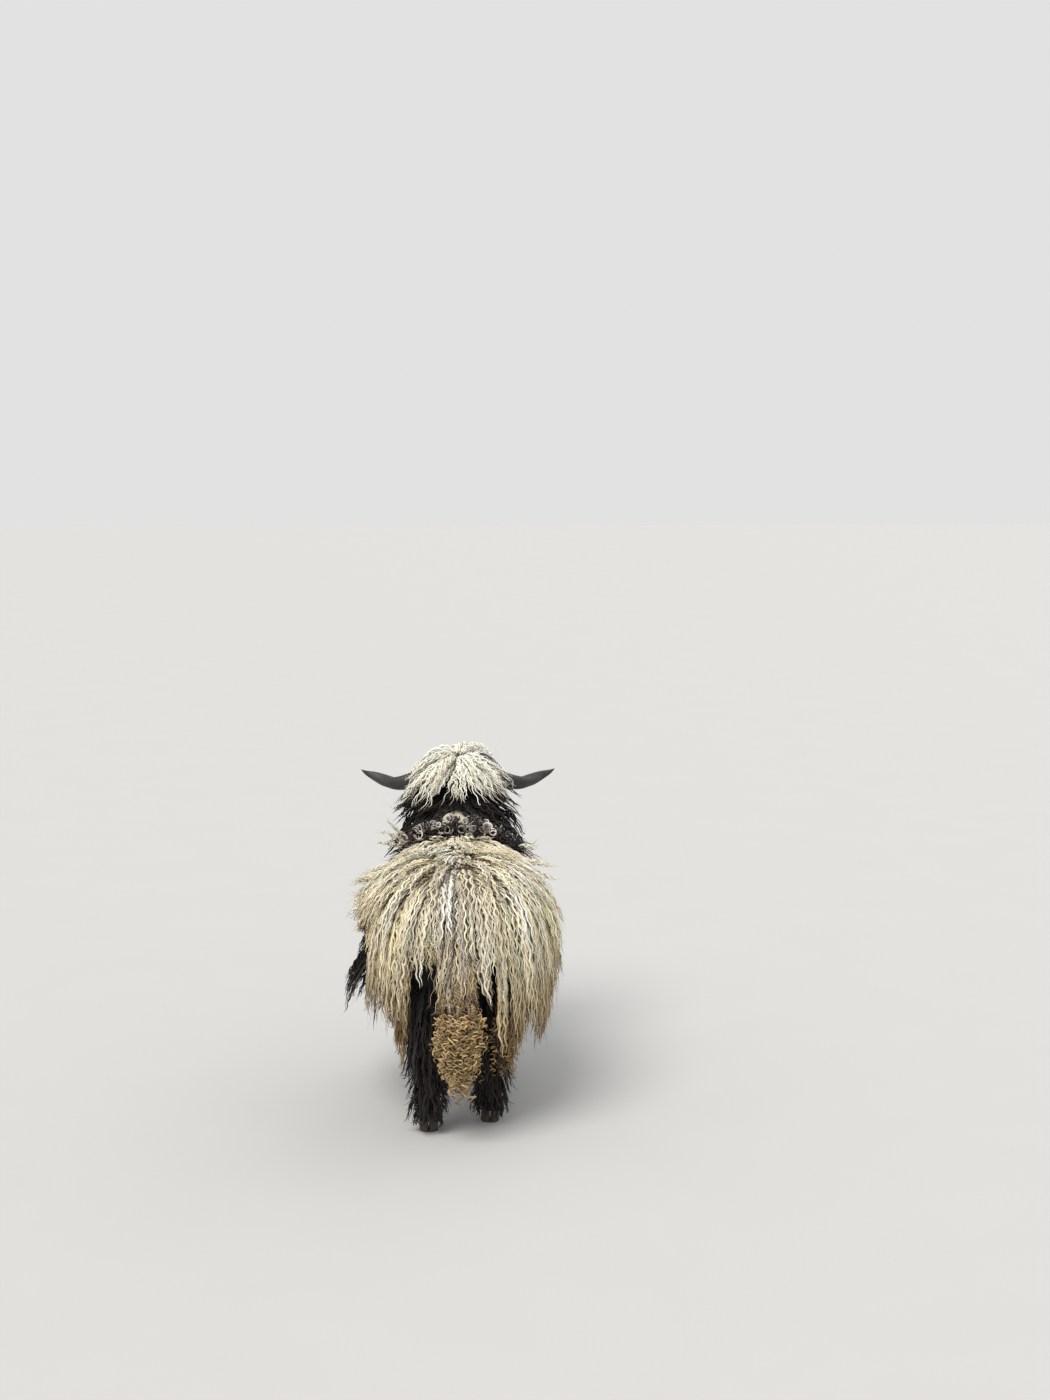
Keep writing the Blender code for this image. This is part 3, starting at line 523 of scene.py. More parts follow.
def skinColour(points):
    x, y, z = points.T
    # painted shade: the skin takes the wool's colour near the roots, with its painted root shade, so the
    # gaps between locks look shaded
    colour = fleeceColour(points, np.full(len(points), 0.10), np.full(len(points), 0.7))
    legs = smoothstep(0.36, 0.31, z)
    hind = smoothstep(0.20, 0.24, y) * smoothstep(0.52, 0.44, z) * smoothstep(0.18, 0.15, np.abs(x))
    colour = blend(colour, tone["black"], np.clip(legs + hind, 0, 1))
    # painted shade: darker gold skin under the tail's curls, so the gaps between them look shaded
    tail = smoothstep(0.44, 0.46, y) * smoothstep(0.44, 0.42, z)
    colour = blend(colour, tone["gold"] * 0.4, tail)
    cap = smoothstep(0.075, 0.055, np.hypot(x, y - crown.y)) * smoothstep(0.96, 0.98, z)
    colour = blend(colour, tone["cream"] * 0.8, cap)
    ahead = (points - np.array(poll)) @ np.array(forward)
    return colour * (1 + 0.6 * smoothstep(0.19, 0.25, ahead))[:, None]


def storeColour(mesh, name, colours):
    layer = mesh.color_attributes.new(name, "FLOAT_COLOR", "POINT")
    flat = np.ones((len(mesh.vertices), 4), np.float32)
    flat[:, :3] = colours
    layer.data.foreach_set("color", flat.ravel())


def pointsOf(mesh):
    flat = np.empty(len(mesh.vertices) * 3, np.float32)
    mesh.vertices.foreach_get("co", flat)
    return flat.reshape(-1, 3).astype(float)


storeColour(skin.data, "wool", skinColour(pointsOf(skin.data)))


# Roots, lines and strands of the coat
def scatter(region, spacing, seed, fits):
    # Evenly spaced roots on a loft: their places, normals and places on the unwrap
    grid = lofts[region]
    rng = np.random.default_rng(seed)
    nextSide = np.roll(grid, -1, axis=1)
    a, b, c, d = grid[:-1], grid[1:], nextSide[1:], nextSide[:-1]
    normal = np.cross(c - a, d - b)
    area = np.linalg.norm(normal, axis=2) / 2
    count = int(7 * area.sum() / spacing ** 2)
    chosen = rng.choice(area.size, count, p=(area / area.sum()).ravel())
    i, k = np.divmod(chosen, grid.shape[1])
    u, v = rng.random((2, count))
    f, g = u[:, None], v[:, None]
    points = (a[i, k] * (1 - f) + b[i, k] * f) * (1 - g) + (d[i, k] * (1 - f) + c[i, k] * f) * g
    normals = unit(normal[i, k])
    middle = grid[i].mean(axis=1)
    normals *= np.sign(((points - middle) * normals).sum(axis=1))[:, None]
    low, high = np.array(unwrap[region][:2]), np.array(unwrap[region][2:])
    places = np.stack([(i + u) / (grid.shape[0] - 1), (k + v) / grid.shape[1]], axis=1)
    places = low + (high - low) * places
    cells, found = {}, []
    for n in range(count):
        p = points[n]
        cell = tuple(np.floor(p / spacing).astype(int))
        near = [q for dx in (-1, 0, 1) for dy in (-1, 0, 1) for dz in (-1, 0, 1)
                for q in cells.get((cell[0] + dx, cell[1] + dy, cell[2] + dz), ())]
        if any(abs(p[0] - q[0]) + abs(p[1] - q[1]) + abs(p[2] - q[2]) < spacing * 1.7
               and math.dist(p, q) < spacing for q in near):
            continue
        if not fits(Vector(p), Vector(normals[n])):
            continue
        cells.setdefault(cell, []).append(tuple(p))
        found.append((Vector(p), Vector(normals[n]), places[n]))
    return found


def traced(root, normal, length, lie, heights, steps=8, sink=0.008):
    line, ups = [root - normal * sink], [normal]
    here, up = root.copy(), normal.copy()
    for i in range(1, steps + 1):
        t = i / steps
        flow = lie(here, up, t).normalized()
        if flow.dot(up) < 0:
            flow = (flow - up * flow.dot(up)).normalized()
        here = here + flow * length / steps
        height, up = heightOver(skinTree, here)
        least = valueAt(heights, t)
        if height < least:
            here = here + up * (least - height)
        line.append(here)
        ups.append((up + ups[-1]).normalized())
    for _ in range(2):
        inner = [(a + b * 2 + c) / 4 for a, b, c in zip(line, line[1:], line[2:])]
        line = [line[0], *inner, line[-1]]
    return [tuple(p) for p in line], [tuple(u) for u in ups]


class Coat:  # the lines of one kind of wool, turned into strands together
    def __init__(self, spec):
        self.spec = spec
        self.lines, self.ups, self.places, self.roots, self.sizes = [], [], [], [], []

    def add(self, root, normal, place, length, lie, heights, size=1.0):
        line, ups = traced(root, normal, length, lie, heights, sink=self.spec.get("sink", 0.008))
        self.lines.append(line)
        self.ups.append(ups)
        self.places.append(place)
        self.roots.append(tuple(root))
        self.sizes.append(size)


def gather(table, t):  # Catmull-Rom along (locks, steps, 3) at (locks, strands, rings)
    last = table.shape[1] - 1
    t = t * last
    k = np.minimum(t.astype(int), last - 1)
    f = (t - k)[..., None]
    lock = np.arange(table.shape[0])[:, None, None]
    a, b, c, d = (table[lock, np.clip(k + o, 0, last)] for o in (-1, 0, 1, 2))
    return 0.5 * (2 * b + (c - a) * f + (2 * a - 5 * b + 4 * c - d) * f ** 2
                  + (3 * b - a - 3 * c + d) * f ** 3)


def toPoints(values, verts):  # a value of each strand or ring, given to all of its points
    return np.broadcast_to(values[..., None], verts.shape[:-1]).reshape(-1)


def strandsOf(coat, colourOf, seed):
    # Rings of three points along every strand, with the colours and the places on the unwrap
    spec = coat.spec
    rng = np.random.default_rng(seed)
    lines, ups = np.array(coat.lines), np.array(coat.ups)
    locks, strands = len(lines), spec["strands"]
    straight, waves = spec["straight"], spec["waves"]
    turns = np.arange(4 * waves) * 0.5 * math.pi + 0.25 * math.pi
    lead = np.linspace(0, straight, spec["leadRings"], endpoint=False)
    rest = straight + (1 - straight) * (np.arange(4 * waves) + 0.5) / (4 * waves)
    t = np.concatenate([lead, rest, [1.0]])
    phase = np.concatenate([np.zeros(len(lead)), turns, [turns[-1] + 0.7]])
    rings = len(t)
    shape = (locks, strands, 1)
    share = rng.uniform(spec["shortest"], 1.0, shape)
    slide = rng.uniform(-0.5, 0.5, (locks, 1, 1)) + rng.normal(0, spec["drift"], shape)
    slid = t + slide * (1 - straight) / waves * np.interp(t, [0, straight, 0.9, 1], [0, 1, 1, 0])
    at = np.clip(slid * share, 0, 1)
    point, up = gather(lines, at), unit(gather(ups, at))
    ahead = unit(gather(lines, np.clip(at + 0.03, 0, 1)) - gather(lines, np.clip(at - 0.03, 0, 1)))
    across = unit(np.cross(ahead, up))
    up = np.cross(across, ahead)
    size = np.array(coat.sizes)[:, None, None]
    clump = np.interp(t, [0, 0.35, 0.75, 1], spec["clump"])
    spread = spec["spread"] * size
    angle = rng.uniform(0, 2 * math.pi, shape)
    radius = np.sqrt(rng.uniform(0.02, 1, shape)) * spread
    offsetA = radius * np.cos(angle) * clump
    offsetB = radius * np.sin(angle) * clump * spec["flat"] + spread * spec["flat"] * 0.3
    sign = np.where(rng.random((locks, 1, 1)) < 0.5, -1, 1) * np.where(rng.random(shape) < 0.15, -1, 1)
    jitter = rng.normal(0, 0.25, shape)
    envelope = np.interp(t, [0, straight * 0.8 + 1e-3, straight + 0.15, 1], [0, 0.35, 1, 1.15])
    crimp = spec["crimp"] * rng.uniform(0.7, 1.3, shape) * envelope * np.minimum(1.2, size)
    offsetA = offsetA + crimp * np.sin(phase + jitter) * sign
    offsetB = offsetB + crimp * np.cos(phase + jitter) * spec["roundness"]
    thin = rng.random(shape) < spec["thin"]
    offsetB = offsetB + np.where(thin, 0.006, 0) * t
    tip = np.clip((t - 0.55) / 0.45, 0, 1) ** 2 * spec["splay"] * np.where(thin, 1.8, 1)
    offsetA = offsetA + rng.normal(0, 1, shape) * tip
    offsetB = offsetB + np.abs(rng.normal(0, 0.6, shape)) * tip
    point = point + across * offsetA[..., None] + up * offsetB[..., None]
    rng.random(shape), rng.normal(size=shape)  # unused draws, kept so that the later ones stay the same
    profile = np.interp(t, [0, 0.2, 0.65, 0.88, 1], [0.55, 1, 0.85, 0.5, 0.06])
    wide = spec["width"] / 2 * profile * rng.uniform(0.7, 1.25, shape) * np.sqrt(size)
    wide = wide * np.where(thin, 0.42, 1)
    tilt = rng.normal(0, spec.get("roll", 0.5), shape)
    ahead = unit(np.gradient(point, axis=2))
    across = unit(np.cross(ahead, up))
    up = np.cross(across, ahead)
    turned = strandEdges + tilt[..., None]
    x = np.cos(turned) * wide[..., None] * 1.15
    y = np.sin(turned) * wide[..., None] * spec["thick"]
    verts = point[..., None, :] + across[..., None, :] * x[..., None] + up[..., None, :] * y[..., None]
    flat = np.repeat(np.array(coat.roots), strands * rings * 3, axis=0)
    luck = toPoints(rng.random(shape), verts)
    colours = colourOf(flat, toPoints(t, verts), luck)
    shade = rng.normal(1.0, spec.get("variety", 0.10), shape)
    shade = np.clip(shade, 0.6, 1.35) * rng.normal(1.0, 0.05, (locks, 1, 1))
    warm = rng.normal(0, 0.03, shape)
    colours = colours * toPoints(shade, verts)[:, None]
    colours = colours * (1 + toPoints(warm, verts)[:, None] * np.array([1, 0, -1.6]))
    places = np.array(coat.places)[:, None, :] + rng.normal(0, 0.002, (locks, strands, 2))
    length = np.linalg.norm(np.diff(lines, axis=1), axis=2).sum(axis=1)
    return {"verts": verts.reshape(-1, 3), "rings": rings, "colours": np.clip(colours, 0.002, 0.95),
            "places": places.reshape(-1, 2), "t": t, "lengths": np.repeat(length, strands)}


strandEdges = np.radians([90, 210, 330])


def woolPiece(name, made, first, last, material):
    # Strands first to last of an array of rings, as one mesh of quads with closed ends
    rings, count = made["rings"], last - first
    size = rings * 3
    verts = made["verts"][first * size:last * size]
    ring = np.arange(rings - 1)[:, None] * 3
    edge, after = np.broadcast_to(np.arange(3), (rings - 1, 3)), np.array([1, 2, 0])
    quad = np.stack([ring + edge, ring + after, ring + 3 + after, ring + 3 + edge], axis=-1)
    quad = quad.reshape(-1, 4)
    ends = np.array([[0, 2, 1], [size - 3, size - 2, size - 1]])
    base = (np.arange(count) * size)[:, None, None]
    quads = (quad[None] + base).reshape(-1, 4)
    tris = (ends[None] + base).reshape(-1, 3)
    mesh = bpy.data.meshes.new(name)
    mesh.vertices.add(len(verts))
    mesh.vertices.foreach_set("co", verts.astype(np.float32).ravel())
    loops = np.concatenate([quads.ravel(), tris.ravel()])
    mesh.loops.add(len(loops))
    mesh.loops.foreach_set("vertex_index", loops.astype(np.int32))
    starts = np.concatenate([np.arange(len(quads)) * 4, len(quads) * 4 + np.arange(len(tris)) * 3])
    mesh.polygons.add(len(starts))
    mesh.polygons.foreach_set("loop_start", starts.astype(np.int32))
    # Each strand's patch on the unwrap, and a map along the strand for its fibres
    start, stop = np.repeat(made["t"][:-1], 3), np.repeat(made["t"][1:], 3)
    across = np.stack([edge, edge + 1, edge + 1, edge], axis=-1).reshape(-1, 4) / 3
    patch = np.stack([across, np.stack([start, start, stop, stop], axis=-1)], axis=-1)
    endPatch = np.zeros((2, 3, 2))
    endPatch[1, :, 1] = 1
    places = made["places"][first:last]
    lengths = made["lengths"][first:last]
    bake = places[:, None, None, :] + 0.003 * patch[None]
    bakeEnds = places[:, None, None, :] + 0.003 * endPatch[None]
    fibre = np.stack([patch[None, ..., 0] + 0.37 * np.arange(count)[:, None, None],
                      patch[None, ..., 1] * lengths[:, None, None]], axis=-1)
    fibreEnds = np.zeros((count, 2, 3, 2))
    for key, main, rest in (("OFBake", bake, bakeEnds), ("fibre", fibre, fibreEnds)):
        layer = mesh.uv_layers.new(name=key)
        flat = np.concatenate([main.reshape(-1), rest.reshape(-1)]).astype(np.float32)
        layer.data.foreach_set("uv", flat)
    mesh.update(calc_edges=True)
    mesh.validate()
    mesh.shade_smooth()
    storeColour(mesh, "wool", made["colours"][first * size:last * size])
    mesh.materials.append(material)
    piece = bpy.data.objects.new(name, mesh)
    bpy.context.scene.collection.objects.link(piece)
    return piece


def woolPieces(name, coat, colourOf, seed, material, parts=1):
    made = strandsOf(coat, colourOf, seed)
    total = len(made["places"])
    pieces = []
    for n in range(parts):
        first, last = total * n // parts, total * (n + 1) // parts
        title = name if parts == 1 else name + str(n + 1)
        pieces.append(woolPiece(title, made, first, last, material))
    count = total * (made["rings"] - 1) * 6
    print(name + ":", len(coat.lines), "locks,", total, "strands,", count, "triangles")
    return pieces


# Nodes, for materials and for Geometry Nodes alike
def connect(tree, made, inputs):  # each input gets a link or a plain value
    for socket, value in inputs:
        if isinstance(value, bpy.types.NodeSocket):
            tree.links.new(value, made.inputs[socket])
        else:
            made.inputs[socket].default_value = value


def wired(tree, kind, inputs=(), output=0, **settings):  # the output of a new node
    made = tree.nodes.new(kind)
    for key, value in settings.items():
        setattr(made, key, value)
    connect(tree, made, inputs)
    return made.outputs[output]


def mathOf(tree, operation, *values):
    return wired(tree, "ShaderNodeMath", enumerate(values), operation=operation)


def lengthOf(tree, vector):
    return wired(tree, "ShaderNodeVectorMath", [(0, vector)], "Value", operation="LENGTH")


def newMaterial(name):
    material = bpy.data.materials.new(name)
    material.use_nodes = True
    return material, material.node_tree


def objectPlace(tree):
    return wired(tree, "ShaderNodeTexCoord", output="Object")


def stretched(tree, place, scale):
    return wired(tree, "ShaderNodeMapping", [("Vector", place), ("Scale", scale)])


def noise(tree, place, scale, detail, roughness=0.5):
    return wired(tree, "ShaderNodeTexNoise", [("Vector", place), ("Scale", scale), ("Detail", detail),
                                              ("Roughness", roughness)])


def ramp(tree, source, *stops):  # greys or colours at their places between 0 and 1
    made = tree.nodes.new("ShaderNodeValToRGB")
    tree.links.new(source, made.inputs["Fac"])
    marks = made.color_ramp.elements
    marks[0].position, marks[1].position = stops[0][0], stops[-1][0]
    for place, _ in stops[1:-1]:
        marks.new(place)
    for mark, (_, value) in zip(sorted(marks, key=lambda m: m.position), stops):
        mark.color = (*value, 1) if isinstance(value, tuple) else (value, value, value, 1)
    return made.outputs["Color"]


def times(tree, first, second):
    return wired(tree, "ShaderNodeMix", [(0, 1.0), (6, first), (7, second)], 2,
                 data_type="RGBA", blend_type="MULTIPLY")


def shade(tree, colour, rough, relief=None, values=()):  # relief is a height, its strength and distance
    shader = tree.nodes["Principled BSDF"]
    connect(tree, shader, [("Base Color", colour), ("Roughness", rough), *values])
    if relief:
        bump = wired(tree, "ShaderNodeBump", zip(("Height", "Strength", "Distance"), relief))
        connect(tree, shader, [("Normal", bump)])


def woolMaterial(name, roughness, sheen, tint, bump, fromStrands=True, shades=(0.72, 0.74)):
    material, tree = newMaterial(name)
    patches = noise(tree, objectPlace(tree), 38.0, 4.0)
    if fromStrands:
        along = wired(tree, "ShaderNodeUVMap", uv_map="fibre")
        fibres = noise(tree, stretched(tree, along, (14.0, 90.0, 1.0)), 1.0, 3.0)
    else:
        fibres = noise(tree, objectPlace(tree), 420.0, 3.0)
    marks = wired(tree, "ShaderNodeAttribute", attribute_name="wool")
    colour = times(tree, marks, ramp(tree, patches, (0.25, shades[0]), (0.75, 1.12)))
    colour = times(tree, colour, ramp(tree, fibres, (0.3, shades[1]), (0.7, 1.10)))
    rough = ramp(tree, fibres, (0.2, roughness - 0.12), (0.8, min(1, roughness + 0.08)))
    shade(tree, colour, rough, (fibres, bump, 0.0012), [
        ("Sheen Weight", sheen), ("Sheen Roughness", 0.45), ("Sheen Tint", (*tint, 1)),
        ("Specular IOR Level", 0.25)])
    return material


def ringedMaterial(name, cloudsOf, ringsOf, base, bands, rough):  # clouded keratin with growth rings
    material, tree = newMaterial(name)
    clouds, rings = cloudsOf(tree), ringsOf(tree)
    colour = times(tree, ramp(tree, clouds, *base), ramp(tree, rings, *bands))
    shade(tree, colour, ramp(tree, clouds, *rough), (rings, 0.5, 0.0008))
    return material


finish = {
    "fleece": woolMaterial("fleece", 0.85, 0.12, (1.0, 0.95, 0.84), 0.5),
    # painted light: the topknot's finish is the fleece's made lighter, with less dark patching and fibre
    # streaking
    "crown": woolMaterial("crownWoolLightened", 0.85, 0.16, (1.0, 0.97, 0.90), 0.5, True, (0.94, 0.88)),
    "black": woolMaterial("blackWool", 0.70, 0.05, (0.8, 0.75, 0.8), 0.5),
    "tail": woolMaterial("tailWool", 0.85, 0.10, (1.0, 0.85, 0.6), 0.5),
    "skin": woolMaterial("skinNap", 0.88, 0.04, (0.8, 0.75, 0.75), 0.9, False),
}
skin.data.materials.clear()
skin.data.materials.append(finish["skin"])


# The fleece of the trunk
fleeceSpec = {
    "spacing": 0.036, "strands": 8, "length": (0.21, 0.27), "coat": 0.070,
    "straight": 0.10, "leadRings": 1, "waves": 5, "width": 0.0082, "thick": 0.62, "crimp": 0.0036,
    "roundness": 0.5, "spread": 0.022, "flat": 0.45, "clump": (1.0, 1.0, 0.85, 0.60), "drift": 0.10,
    "splay": 0.009, "shortest": 0.66, "variety": 0.18, "thin": 0.2, "pieces": 8,
    "seeds": (5, 4, 6), "dockSpacing": 0.019, "dockSeed": 51,  # seeds of sizes, roots and strands
}


def trunkLie(point, up, t):  # a fan from the withers, drawn in below the belly
    away = Vector((point.x * 2.0, point.y + 0.40, 0))
    away = away.normalized() if away.length > 0.01 else Vector((0, 1, 0))
    top = max(0.0, up.z)
    drawn = max(0.0, 0.48 - point.z) * 1.5
    inward = side * -math.copysign(min(1, abs(point.x) / 0.1), point.x)
    return away * (0.16 + 1.0 * top) + down * (1.1 - 0.5 * top) + inward * drawn


def patchLie(point, up, t):  # the left flank's black locks stand off and hang outside the cream ones
    return down + side * (1.1 - 1.0 * t) + Vector((0, 0.25, 0))


def tipHeight(root, draw):  # where a lock of the rump or of the skirts ends
    if root.y > 0.22 and -0.10 < root.x < 0.035:
        return draw.uniform(0.39, 0.47)
    if root.y > 0.22 and 0.035 <= root.x < 0.13:
        return draw.uniform(0.49, 0.56)
    return draw.uniform(0.20, 0.30)


def fleeceLock(root, normal, draw):  # length, lie and least heights over the skin
    spec = fleeceSpec
    length = draw.uniform(*spec["length"])
    thick = spec["coat"] * draw.uniform(0.45, 1.0)
    lie = trunkLie
    if root.z < 0.52 or root.y > 0.20:
        edge = max(0.0, 0.44 - root.y) * 0.8 if root.z > 0.60 else 0.0
        length = min(0.33, max(0.09, root.z - tipHeight(root, draw) + edge))
    if root.z < 0.52:
        thick *= 0.6
    if root.z > 0.70 and root.y < -0.12:
        thick *= 0.55
    patch = root.x > 0.12 and -0.27 < root.y < 0.16
    if patch and root.z > 0.56:
        length = min(length, max(0.06, (root.z - 0.57) * 1.25))
    elif patch and darkShare(np.array([tuple(root)]))[0] > 0.5:
        lie, length = patchLie, draw.uniform(0.15, 0.24)
        thick = spec["coat"] * draw.uniform(0.95, 1.2)
    elif root.x > 0.12 and root.y >= 0.12 and root.z < 0.72:
        thick *= 0.30
    if normal.z < -0.45:
        length, thick = draw.uniform(0.07, 0.11), thick * 0.7
    heights = [(0, 0.0), (0.2, 0.25 * thick), (0.5, 0.6 * thick), (1, 0.82 * thick)]
    return length, lie, heights


def makeFleece():
    sizeSeed, rootSeed, strandSeed = fleeceSpec["seeds"]
    draw = random.Random(sizeSeed)
    coat = Coat(fleeceSpec)

    def fits(point, normal):
        if heightOver(trees["neck"], point)[0] < 0.004 or heightOver(trees["tail"], point)[0] < 0.002:
            return False
        if point.z > 0.72 and point.y < -0.27:  # the collar's place
            return False
        return all(heightOver(trees[end + where], point)[0] > 0.004 for end, where in legNames)

    roots = scatter("trunk", fleeceSpec["spacing"], rootSeed, fits)
    for root, normal, place in sorted(roots, key=lambda found: found[0].y):
        length, lie, heights = fleeceLock(root, normal, draw)
        coat.add(root, normal, place, length, lie, heights, draw.uniform(0.8, 1.2))
    dock = scatter("tail", fleeceSpec["dockSpacing"], fleeceSpec["dockSeed"],
                   lambda point, normal: point.z > 0.45 and normal.y > -0.3)
    for root, normal, place in dock:  # wool that falls over the root of the tail
        length = max(0.05, root.z - draw.uniform(0.41, 0.45))
        thick = draw.uniform(0.006, 0.024)
        coat.add(root, normal, place, length, trunkLie, [(0, 0), (0.4, thick), (1, thick)], 0.8)
    return woolPieces("fleece", coat, fleeceColour, strandSeed, finish["fleece"], fleeceSpec["pieces"])


# Loose crimped locks beside the withers, and the left shoulder's tuft that stands out sideways
straySpec = {
    "strands": 5, "straight": 0.05, "leadRings": 1, "waves": 5, "width": 0.0068, "thick": 0.7,
    "crimp": 0.0048, "roundness": 0.7, "spread": 0.010, "flat": 0.8, "clump": (1.0, 1.0, 1.0, 0.8),
    "drift": 0.05, "splay": 0.008, "shortest": 0.75, "variety": 0.12, "thin": 0.2,
    "flare": 26, "seeds": (53, 52),
}
strays = [  # place near the root, heading, length, fall
    ((0.140, -0.28, 0.76), (1, 0.1, 0.80), 0.17, 0.0), ((0.140, -0.25, 0.76), (1, 0.3, 0.70), 0.15, 0.2),
    ((0.150, -0.27, 0.74), (1, 0.2, 0.55), 0.14, 0.3),
    ((-0.170, -0.28, 0.72), (-1, 0.1, 0.75), 0.15, 1.1),
    ((-0.185, -0.22, 0.71), (-1, 0.2, 0.50), 0.14, 0.8),
    ((-0.180, -0.24, 0.69), (-1, 0.1, 0.30), 0.15, 0.5),
    ((-0.200, -0.16, 0.70), (-1, 0.3, 0.45), 0.13, 0.9),
    ((-0.150, -0.30, 0.74), (-1, 0.0, 0.50), 0.15, 0.6),
    ((-0.195, -0.19, 0.66), (-1, 0.2, 0.10), 0.12, 0.3),
]


def strayColour(points, t, luck):
    colour = blend(plain("cream", points), tone["white"], 0.2 + 0.6 * luck)
    # painted shade: the roots darken towards mauve
    return blend(colour, tone["mauve"] * 0.6, 0.7 * smoothstep(0.30, 0.0, t))


def makeStrays():
    sizeSeed, strandSeed = straySpec["seeds"]
    draw = random.Random(sizeSeed)
    chosen = list(strays)
    for _ in range(straySpec["flare"]):
        y, z = draw.uniform(-0.25, 0.0), draw.uniform(0.62, 0.76)
        heading = (1.0, draw.uniform(0.0, 0.5), draw.uniform(-0.1, 0.5))
        chosen.append(((0.24, y, z), heading, draw.uniform(0.10, 0.145), draw.uniform(0.4, 0.9)))
    coat = Coat(straySpec)
    for near, heading, length, fall in chosen:
        root, normal, _, _ = skinTree.find_nearest(Vector(near))
        heading = Vector(heading).normalized()
        turn = math.atan2(normal.z, normal.x) / math.pi
        place = np.array([0.12 + 0.5 * (0.43 - root.y), 0.55 + 0.4 * turn])
        coat.add(root, normal, place, length, lambda p, n, t: heading + down * fall * t * 1.5,
                 [(0, 0), (0.3, 0.02), (1, 0.03)])
    return woolPieces("strayLocks", coat, strayColour, strandSeed, finish["fleece"])


# Shorter wool under it, which closes the parting and the gaps
underSpec = {
    "spacing": 0.030, "strands": 3, "length": (0.06, 0.09), "coat": 0.024,
    "straight": 0.05, "leadRings": 1, "waves": 2, "width": 0.0095, "thick": 0.55, "crimp": 0.0036,
    "roundness": 0.6, "spread": 0.020, "flat": 0.5, "clump": (1.0, 1.0, 0.9, 0.7), "drift": 0.3,
    "splay": 0.008, "shortest": 0.7, "variety": 0.12, "thin": 0.0, "seeds": (14, 15, 16),
}


def underColour(points, t, luck):
    # painted shade: the under wool takes the fleece's colour near the roots, with its painted root
    # shade, so the gaps look shaded
    return fleeceColour(points, 0.12 + 0.24 * t, luck)


def makeUnderWool():
    sizeSeed, rootSeed, strandSeed = underSpec["seeds"]
    draw = random.Random(sizeSeed)
    coat = Coat(underSpec)
    outside = [trees[name] for name in trees if name != "trunk"]

    def fits(point, normal):
        return normal.z > -0.6 and all(heightOver(tree, point)[0] > 0.0 for tree in outside)

    for root, normal, place in scatter("trunk", underSpec["spacing"], rootSeed, fits):
        thick = underSpec["coat"] * draw.uniform(0.5, 1.0)
        heights = [(0, 0.0), (0.3, 0.6 * thick), (1, thick)]
        coat.add(root, normal, place, draw.uniform(*underSpec["length"]), trunkLie, heights)
    return woolPieces("underWool", coat, underColour, strandSeed, finish["fleece"], 2)


# The neck's black wool
neckSpec = {
    "spacing": 0.026, "strands": 5, "length": (0.10, 0.15), "coat": 0.066,
    "straight": 0.15, "leadRings": 1, "waves": 3, "width": 0.0090, "thick": 0.6, "crimp": 0.0028,
    "roundness": 0.5, "spread": 0.016, "flat": 0.6, "clump": (1.0, 1.0, 0.80, 0.6), "drift": 0.15,
    "splay": 0.009, "shortest": 0.6, "variety": 0.25, "thin": 0.25, "seeds": (23, 9, 8),
}


def neckLie(point, up, t):
    crest = max(0, up.y + 0.3)
    away = math.copysign(min(1, abs(point.x) / 0.05), point.x)
    return down + side * away * 0.5 * crest + Vector((0, 0.3, 0))


def blackColour(points, t, luck):
    brown = 0.5 + 0.5 * wobble(points, 30, 2.0)
    colour = blend(plain("black", points), tone["brown"] * 0.3, 0.22 * brown)
    return blend(colour, tone["brown"] * 0.35, 0.2 * smoothstep(0.5, 1.0, t))


def makeNeckWool():
    spec = neckSpec
    sizeSeed, rootSeed, strandSeed = spec["seeds"]
    draw = random.Random(sizeSeed)
    coat = Coat(spec)

    def fits(point, normal):
        return heightOver(trees["trunk"], point)[0] > -0.004 and heightOver(headTree, point)[0] > 0.004

    for root, normal, place in scatter("neck", spec["spacing"], rootSeed, fits):
        thick = spec["coat"] * draw.uniform(0.3, 0.95) * (0.75 if normal.y > 0.5 else 1)
        if root.z > 0.78 and abs(normal.x) > 0.45:
            thick *= 1.45
        heights = [(0, 0), (0.25, 0.4 * thick), (0.6, 0.75 * thick), (1, thick)]
        length = draw.uniform(*spec["length"])
        coat.add(root, normal, place, length, neckLie, heights, draw.uniform(0.8, 1.2))
    return woolPieces("neckWool", coat, blackColour, strandSeed, finish["black"])


# The white topknot
topknotSpec = {
    "locks": 190, "strands": 6, "radius": 0.066,
    "straight": 0.04, "leadRings": 1, "waves": 5, "width": 0.0056, "thick": 0.62, "crimp": 0.0036,
    "roundness": 0.9, "spread": 0.012, "flat": 0.8, "clump": (1.0, 1.0, 0.80, 0.35), "drift": 0.08,
    "splay": 0.009, "shortest": 0.66, "variety": 0.10, "thin": 0.2, "seeds": (4, 12),
}


def crownLie(point, up, t):
    away = Vector((point.x - crown.x, point.y - crown.y, 0)).normalized()
    back = max(0, away.y)
    return away * (1.1 - 1.0 * t - 0.30 * back) + down * (0.1 + (1.9 + 0.9 * back) * t)


def crownColour(points, t, luck):
    colour = blend(plain("white", points), tone["cream"], 0.25 * (luck > 0.8))
    # painted shade: the roots darken a little towards cream
    colour = blend(colour, tone["cream"] * 0.8, 0.25 * smoothstep(0.20, 0.0, t))
    return blend(colour, tone["cream"], 0.15 * smoothstep(0.6, 1.0, t))


def headPlaces(points):  # places of points of the head on the unwrap
    offset = points - np.array(poll)
    ahead, above = offset @ np.array(forward), offset @ np.array(upward) + 0.022
    low, high = np.array(unwrap["head"][:2]), np.array(unwrap["head"][2:])
    turn = np.arctan2(above, offset[:, 0]) / (2 * math.pi) + 0.5
    share = np.clip(np.stack([(ahead + 0.07) / 0.36, turn], axis=1), 0, 1)
    return low + (high - low) * share


